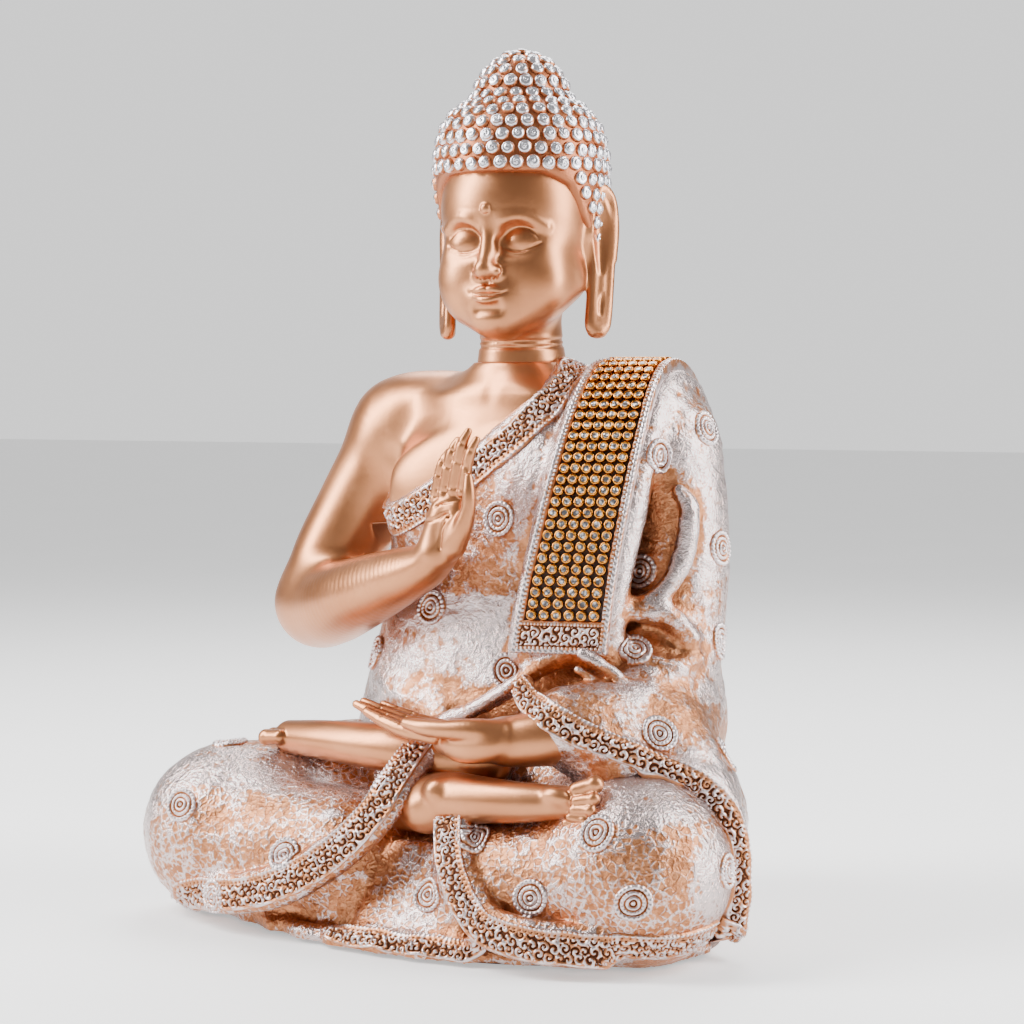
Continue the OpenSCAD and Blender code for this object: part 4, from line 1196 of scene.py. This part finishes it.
for side in (-1, 1):
    head.cut(limb([(1.5 * side, -28.2, nose_z - 0.7, 0.6), (2.3 * side, -26.2, nose_z - 0.1, 0.75)]), 0.7)
    head.cut(limb(on_face([(4.9 * side, nose_z + 3.2, 0.1, 0.3), (5.3 * side, nose_z + 1.6, 0.1, 0.45),
                           (4.6 * side, nose_z, 0.1, 0.3)])), 1.0)
head.add(egg(0, -21.6, mouth_z, 8, 4.2, 5.4), 4)
head.cut(limb(on_face([(0, nose_z - 1.4, 0, 0.6), (0, mouth_z + 2.6, 0, 0.8)])), 1.6)
upper_lip = [(-5.6, 0.7, 0.5, 0.5), (-2.9, 1.5, 0.15, 1.0), (-1.0, 1.75, 0.05, 1.15), (0, 1.5, 0.1, 1.05),
             (1.0, 1.75, 0.05, 1.15), (2.9, 1.5, 0.15, 1.0), (5.6, 0.7, 0.5, 0.5)]
lower_lip = [(-4.6, -0.5, 0.5, 0.6), (-2.2, -1.5, 0.1, 1.2), (0, -1.85, 0, 1.45), (2.2, -1.5, 0.1, 1.2),
             (4.6, -0.5, 0.5, 0.6)]
lips = [on_face([(x, mouth_z + z, sink, r) for x, z, sink, r in lip]) for lip in (upper_lip, lower_lip)]
for lip in lips:
    head.add(limb(lip), 0.7)
head.cut(limb(on_face([(-6.4, mouth_z + 0.9, 0.2, 0.3), (-3.2, mouth_z, 0.1, 0.36),
                       (0, mouth_z - 0.1, 0.1, 0.4),
                       (3.2, mouth_z, 0.1, 0.36), (6.4, mouth_z + 0.9, 0.2, 0.3)])), 0.6)
head.cut(limb(on_face([(-3.5, mouth_z - 4.6, 0, 0.8), (3.5, mouth_z - 4.6, 0, 0.8)])), 3)
head.add(egg(0, head.front(0, brow_z + 5) - 0.1, brow_z + 5, 1.7, 1.1, 1.7), 0.2)
# creases round the neck
for z in (178.6, 184.4, 186.2):
    ring = [(14.4 * math.sin(a), 1 - 14.1 * math.cos(a), z - 0.8 * math.cos(a), 0.6)
            for a in np.radians(np.arange(-130, 131, 13))]
    seated = []
    for x, y, z, r in ring:
        out = np.array([x, y - 0.5, 0]) / math.hypot(x, y - 0.5)
        along = np.array([0, 0.5, z]) + np.linspace(8, 20, 60)[:, None] * out
        seated.append((*along[np.argmax(head.at(along) > 0)], r))
    head.cut(limb(seated, 3), 0.5)
# ears: the back of the shell, the long lobe, the rim round it and the hollows inside
for side in (-1, 1):
    head.add(egg(23.6 * side, 3, 221, 3, 6.2, 12), 3)
    for shift in (-2.8, 0, 2.8):
        dx, dy = 0.68 * shift, 0.73 * shift
        head.add(limb([((25.4 + 0.6 * dx) * side, 2 + 0.6 * dy, 232, 1.8),
                       ((27 + dx) * side, 3 + dy, 222, 1.9),
                       ((27.2 + dx) * side, 2.6 + dy, 212, 1.8), ((27 + dx) * side, 1.6 + dy, 201, 1.8),
                       ((26.6 + 0.9 * dx) * side, 0.8 + 0.9 * dy, 191.5, 2),
                       ((26.4 + 0.5 * dx) * side, 0.6 + 0.5 * dy, 188.8, 2)]), 1.6)
    head.add(limb([(25 * side, -1.6, 220, 1.4), (25.4 * side, -1.4, 228, 1.6), (27 * side, 1.6, 234, 1.8),
                   (29 * side, 5.4, 231, 1.8), (30 * side, 6, 222, 1.7), (29.8 * side, 5.4, 212, 1.4)]),
             1.2)
    head.cut(limb([(28 * side, 0.6, 229, 1.0), (28.6 * side, 0.2, 222, 2.6), (28.6 * side, 0, 214, 2.3),
                   (28.2 * side, 0.2, 208, 0.9)]), 1.0)
    head.cut(limb([(28.4 * side, 0.2, 200.5, 0.4), (28.2 * side, -0.2, 198, 0.8),
                   (28 * side, -0.5, 194.4, 0.5)]), 0.5)
neck_z = 176.5
head.cut(block((-40, -40, 150), (40, 40, neck_z)), 0.4)


head_turn = 8


def turned(points):
    """Turns the head's points a little toward its left shoulder."""
    c, s = math.cos(math.radians(head_turn)), math.sin(math.radians(head_turn))
    return np.column_stack([c * points[:, 0] - s * points[:, 1], s * points[:, 0] + c * points[:, 1],
                            points[:, 2]])


head_points, head_faces = head.skin()
make_piece("head_and_neck", turned(head_points), head_faces, copper_skin, "skin_finish", "head_casting")


# ---- Hair -----------------------------------------------------------------------------------------
# The cap and crown bump are cast with the head and set with rows of small snail curls. Each curl's crown is
# silvered by hand, and copper shows on its sides and on the cap between the curls, darkened there and in
# its spiral groove as painted shade.

def curl_finish():
    """Silver where the paint mark is high, copper elsewhere, darkened as painted shade where the mark is
    lowest.
    """
    material, shader = new_material("silvered_curls", (0.6, 0.3, 0.16), 0.85, 0.35)
    w = Wiring(material, shader)
    high = w.sums("ADD", w.attribute("paint"),
                  w.sums("MULTIPLY", w.sums("SUBTRACT", w.noise(700, 3), 0.5), 0.55))
    silver = w.step(high, 0.3, 0.5)
    # copper darkened as painted shade where the mark is low: in the spiral grooves, on the curls' sides and
    # on the cap between them
    copper = w.mix(w.step(w.attribute("paint"), 0.0, 0.4), (0.30, 0.09, 0.035), (0.58, 0.23, 0.10))
    w.wire("Base Color", w.mix(silver, copper, (0.70, 0.68, 0.72)))
    w.wire("Roughness", w.step(silver, 0, 1, 0.42, 0.24))
    w.wire("Normal", w.bump(w.noise(1500, 3), 0.00012, 0.5))
    return material


hair_rows = np.array([(194, 15.5), (200, 19.5), (206, 22.3), (218, 25.4), (230, 27), (238, 27.6),
                      (244, 27.5), (250, 26.6),
                      (255, 24.8), (259, 21.6), (262.3, 17.4), (265, 15.1), (268.5, 13.9), (272, 11.8),
                      (275, 8.6), (277.2, 4.4), (278, 0.4)])
hair_y = 0.5
hairline = np.array([(-32, 238.5), (-20, 238), (-13, 234), (-7, 225), (0, 217), (8, 208), (18, 200),
                     (32, 196)])


def hair_radius(z):
    """How wide the cap is at a height."""
    line = smooth_line(hair_rows, 8)
    return np.interp(z, line[:, 0], line[:, 1])


def cap_form():
    """The cap with its crown bump, as one turned form."""
    def distance(x, y, z):
        away = np.sqrt(x * x + (y - hair_y) ** 2)
        steep = np.gradient(hair_radius(z.ravel()), z.ravel()).reshape(z.shape)
        return np.maximum((away - hair_radius(z)) / np.sqrt(1 + np.clip(steep, -3, 3) ** 2),
                          z - hair_rows[-1, 0])
    return [((-31, -31, hair_rows[0, 0]), (31, 31, 279), distance)]


cap = Clay((-31, -31, 192), (31, 31, 281), 0.8 * grain_share)
cap.add([(np.array(low, float), np.array(high, float), f) for low, high, f in cap_form()])
x, y, z = cap.everywhere()
under_hairline = (np.interp(y, *hairline.T) - z) * 0.8
cap.depth = -melt(-cap.depth, -under_hairline, 1.5)
cap_points, cap_faces = cap.skin()


def curl_mesh(centre, out, up, r, hand):
    """One snail curl: a low dome with a spiral groove, as points, faces and paint marks."""
    rings, turns = 9, 18
    side, rise = across_from(out, up)
    share = np.linspace(1, 0, rings)[:, None]
    angle = np.linspace(0, 2 * math.pi, turns, endpoint=False)[None, :] + 0 * share
    dome = np.sqrt(np.clip(1 - (share * 0.98) ** 2.6, 0, 1))
    spiral = 0.5 + 0.5 * np.cos(2 * math.pi * share * 1.9 - hand * angle)
    height = r * (0.74 * dome - 0.15 * spiral * (1 - share ** 4)) - 0.45 * (share > 0.99)
    reach = r * share
    points = centre + reach[..., None] * circle(angle, side, rise) + height[..., None] * out
    # high on the dome for the silver, low in the spiral groove and at the foot for the painted shade
    paint = np.clip(0.18 + 0.9 * dome - 0.55 * spiral, 0, 1)
    return points.reshape(-1, 3), round_faces(rings, turns), paint.ravel()


rng = np.random.default_rng(5)
curl_r, curl_gap, row_gap = 2.3, 4.95, 4.5
# the bare cap gets a low mark, so it takes the painted shade between the curls
curl_points, curl_faces, curl_paint = [cap_points], [cap_faces], [np.full(len(cap_points), 0.12)]
total = len(cap_points)
line = smooth_line(hair_rows, 30)
arc = np.concatenate([[0], np.cumsum(np.hypot(*np.diff(line, axis=0).T))])
for row, s in enumerate(np.arange(arc[-1], 2.0, -row_gap)[::-1]):
    z, r = (np.interp(s, arc, line[:, k]) for k in (0, 1))
    dz, dr = (np.interp(s + 0.5, arc, line[:, k]) - np.interp(s - 0.5, arc, line[:, k]) for k in (0, 1))
    count = max(1, round(2 * math.pi * r / curl_gap))
    for k in range(count):
        a = 2 * math.pi * (k + row % 2 / 2 + rng.uniform(-0.07, 0.07)) / count
        out = np.array([math.sin(a) * dz, -math.cos(a) * dz, -dr])
        out /= np.linalg.norm(out)
        centre = np.array([r * math.sin(a), hair_y - r * math.cos(a), z + rng.uniform(-0.25, 0.25)])
        if centre[2] < np.interp(centre[1], *hairline.T) + curl_r * 0.9:
            continue
        p, f, paint = curl_mesh(centre - 0.1 * out, out, np.array([0.05, 0.1, 1.0]),
                                curl_r * rng.uniform(0.93, 1.06), 1 if rng.random() < 0.6 else -1)
        curl_points.append(p)
        curl_faces.append(f + total)
        curl_paint.append(paint)
        total += len(p)
hair = make_piece("hair_curls", turned(np.vstack(curl_points)), np.vstack(curl_faces), curl_finish(),
                  "skin_finish", "head_casting")
mark(hair, "paint", np.concatenate(curl_paint))


# ---- Studio --------------------------------------------------------------------------------------
# A pale floor with a soft world and large soft lights, and the camera at a little above the lap,
# to the figure's left. None of it is part of the object.

def soft_light(name, azimuth, height, distance, size, power):
    """A rectangular soft light at a bearing round the figure."""
    lamp = bpy.data.lights.new(name, "AREA")
    lamp.shape, lamp.size, lamp.size_y = "RECTANGLE", size[0], size[1]
    lamp.energy = power
    light = bpy.data.objects.new(name, lamp)
    bpy.context.scene.collection.objects.link(light)
    aim(light, azimuth, height, distance, (0, 0, 130))


def aim(thing, azimuth, elevation, distance, target):
    """Puts a light or the camera at a bearing round the figure, facing a point in millimetres."""
    a, e = math.radians(azimuth), math.radians(elevation)
    out = Vector((math.sin(a) * math.cos(e), -math.cos(a) * math.cos(e), math.sin(e)))
    thing.location = (Vector(target) + out * distance) * MM
    thing.rotation_euler = (-out).to_track_quat("-Z", "Y").to_euler()


def studio_floor():
    mesh = bpy.data.meshes.new("studio_floor")
    reach = 6.0
    mesh.from_pydata([(-reach, -reach, 0), (reach, -reach, 0), (reach, reach, 0), (-reach, reach, 0)],
                     [], [(0, 1, 2, 3)])
    material, shader = new_material("pale_floor", (0.86, 0.86, 0.86), 0.0, 0.6)
    w = Wiring(material, shader)
    w.wire("Roughness", w.step(w.noise(8), 0.3, 0.7, 0.55, 0.65))
    shader.inputs["Emission Color"].default_value = (1, 1, 1, 1)
    shader.inputs["Emission Strength"].default_value = 0.6
    mesh.materials.append(material)
    floor = bpy.data.objects.new("studio_floor", mesh)
    bpy.context.scene.collection.objects.link(floor)


studio_floor()
# the world glows most behind the figure, seen from the camera's bearing, and is soft elsewhere
world = bpy.data.worlds.new("studio")
world.use_nodes = True
sky = world.node_tree
place = sky.nodes.new("ShaderNodeTexCoord")
bearing = sky.nodes.new("ShaderNodeVectorMath")
bearing.operation = "DOT_PRODUCT"
bearing.inputs[1].default_value = (-0.53, 0.848, 0)
glow = sky.nodes.new("ShaderNodeMapRange")
for socket, value in zip(("From Min", "From Max", "To Min", "To Max"), (0.72, 0.96, 0.26, 1.2)):
    glow.inputs[socket].default_value = value
sky.links.new(place.outputs["Generated"], bearing.inputs[0])
sky.links.new(bearing.outputs["Value"], glow.inputs["Value"])
sky.links.new(glow.outputs["Result"], sky.nodes["Background"].inputs["Strength"])
sky.nodes["Background"].inputs["Color"].default_value = (1, 1, 1, 1)
bpy.context.scene.world = world
soft_light("key_light", -52, 34, 900, (0.3, 0.9), 21)
soft_light("side_light", 108, 24, 800, (0.35, 0.9), 14)
soft_light("back_light", 205, 50, 900, (0.6, 0.6), 9)

lens = bpy.data.cameras.new("camera")
lens.lens, lens.sensor_width = 85, 36
camera = bpy.data.objects.new("camera", lens)
bpy.context.scene.collection.objects.link(camera)
aim(camera, 32, 2.8, 785, (-2.4, -1.5, 130.5))
bpy.context.scene.camera = camera
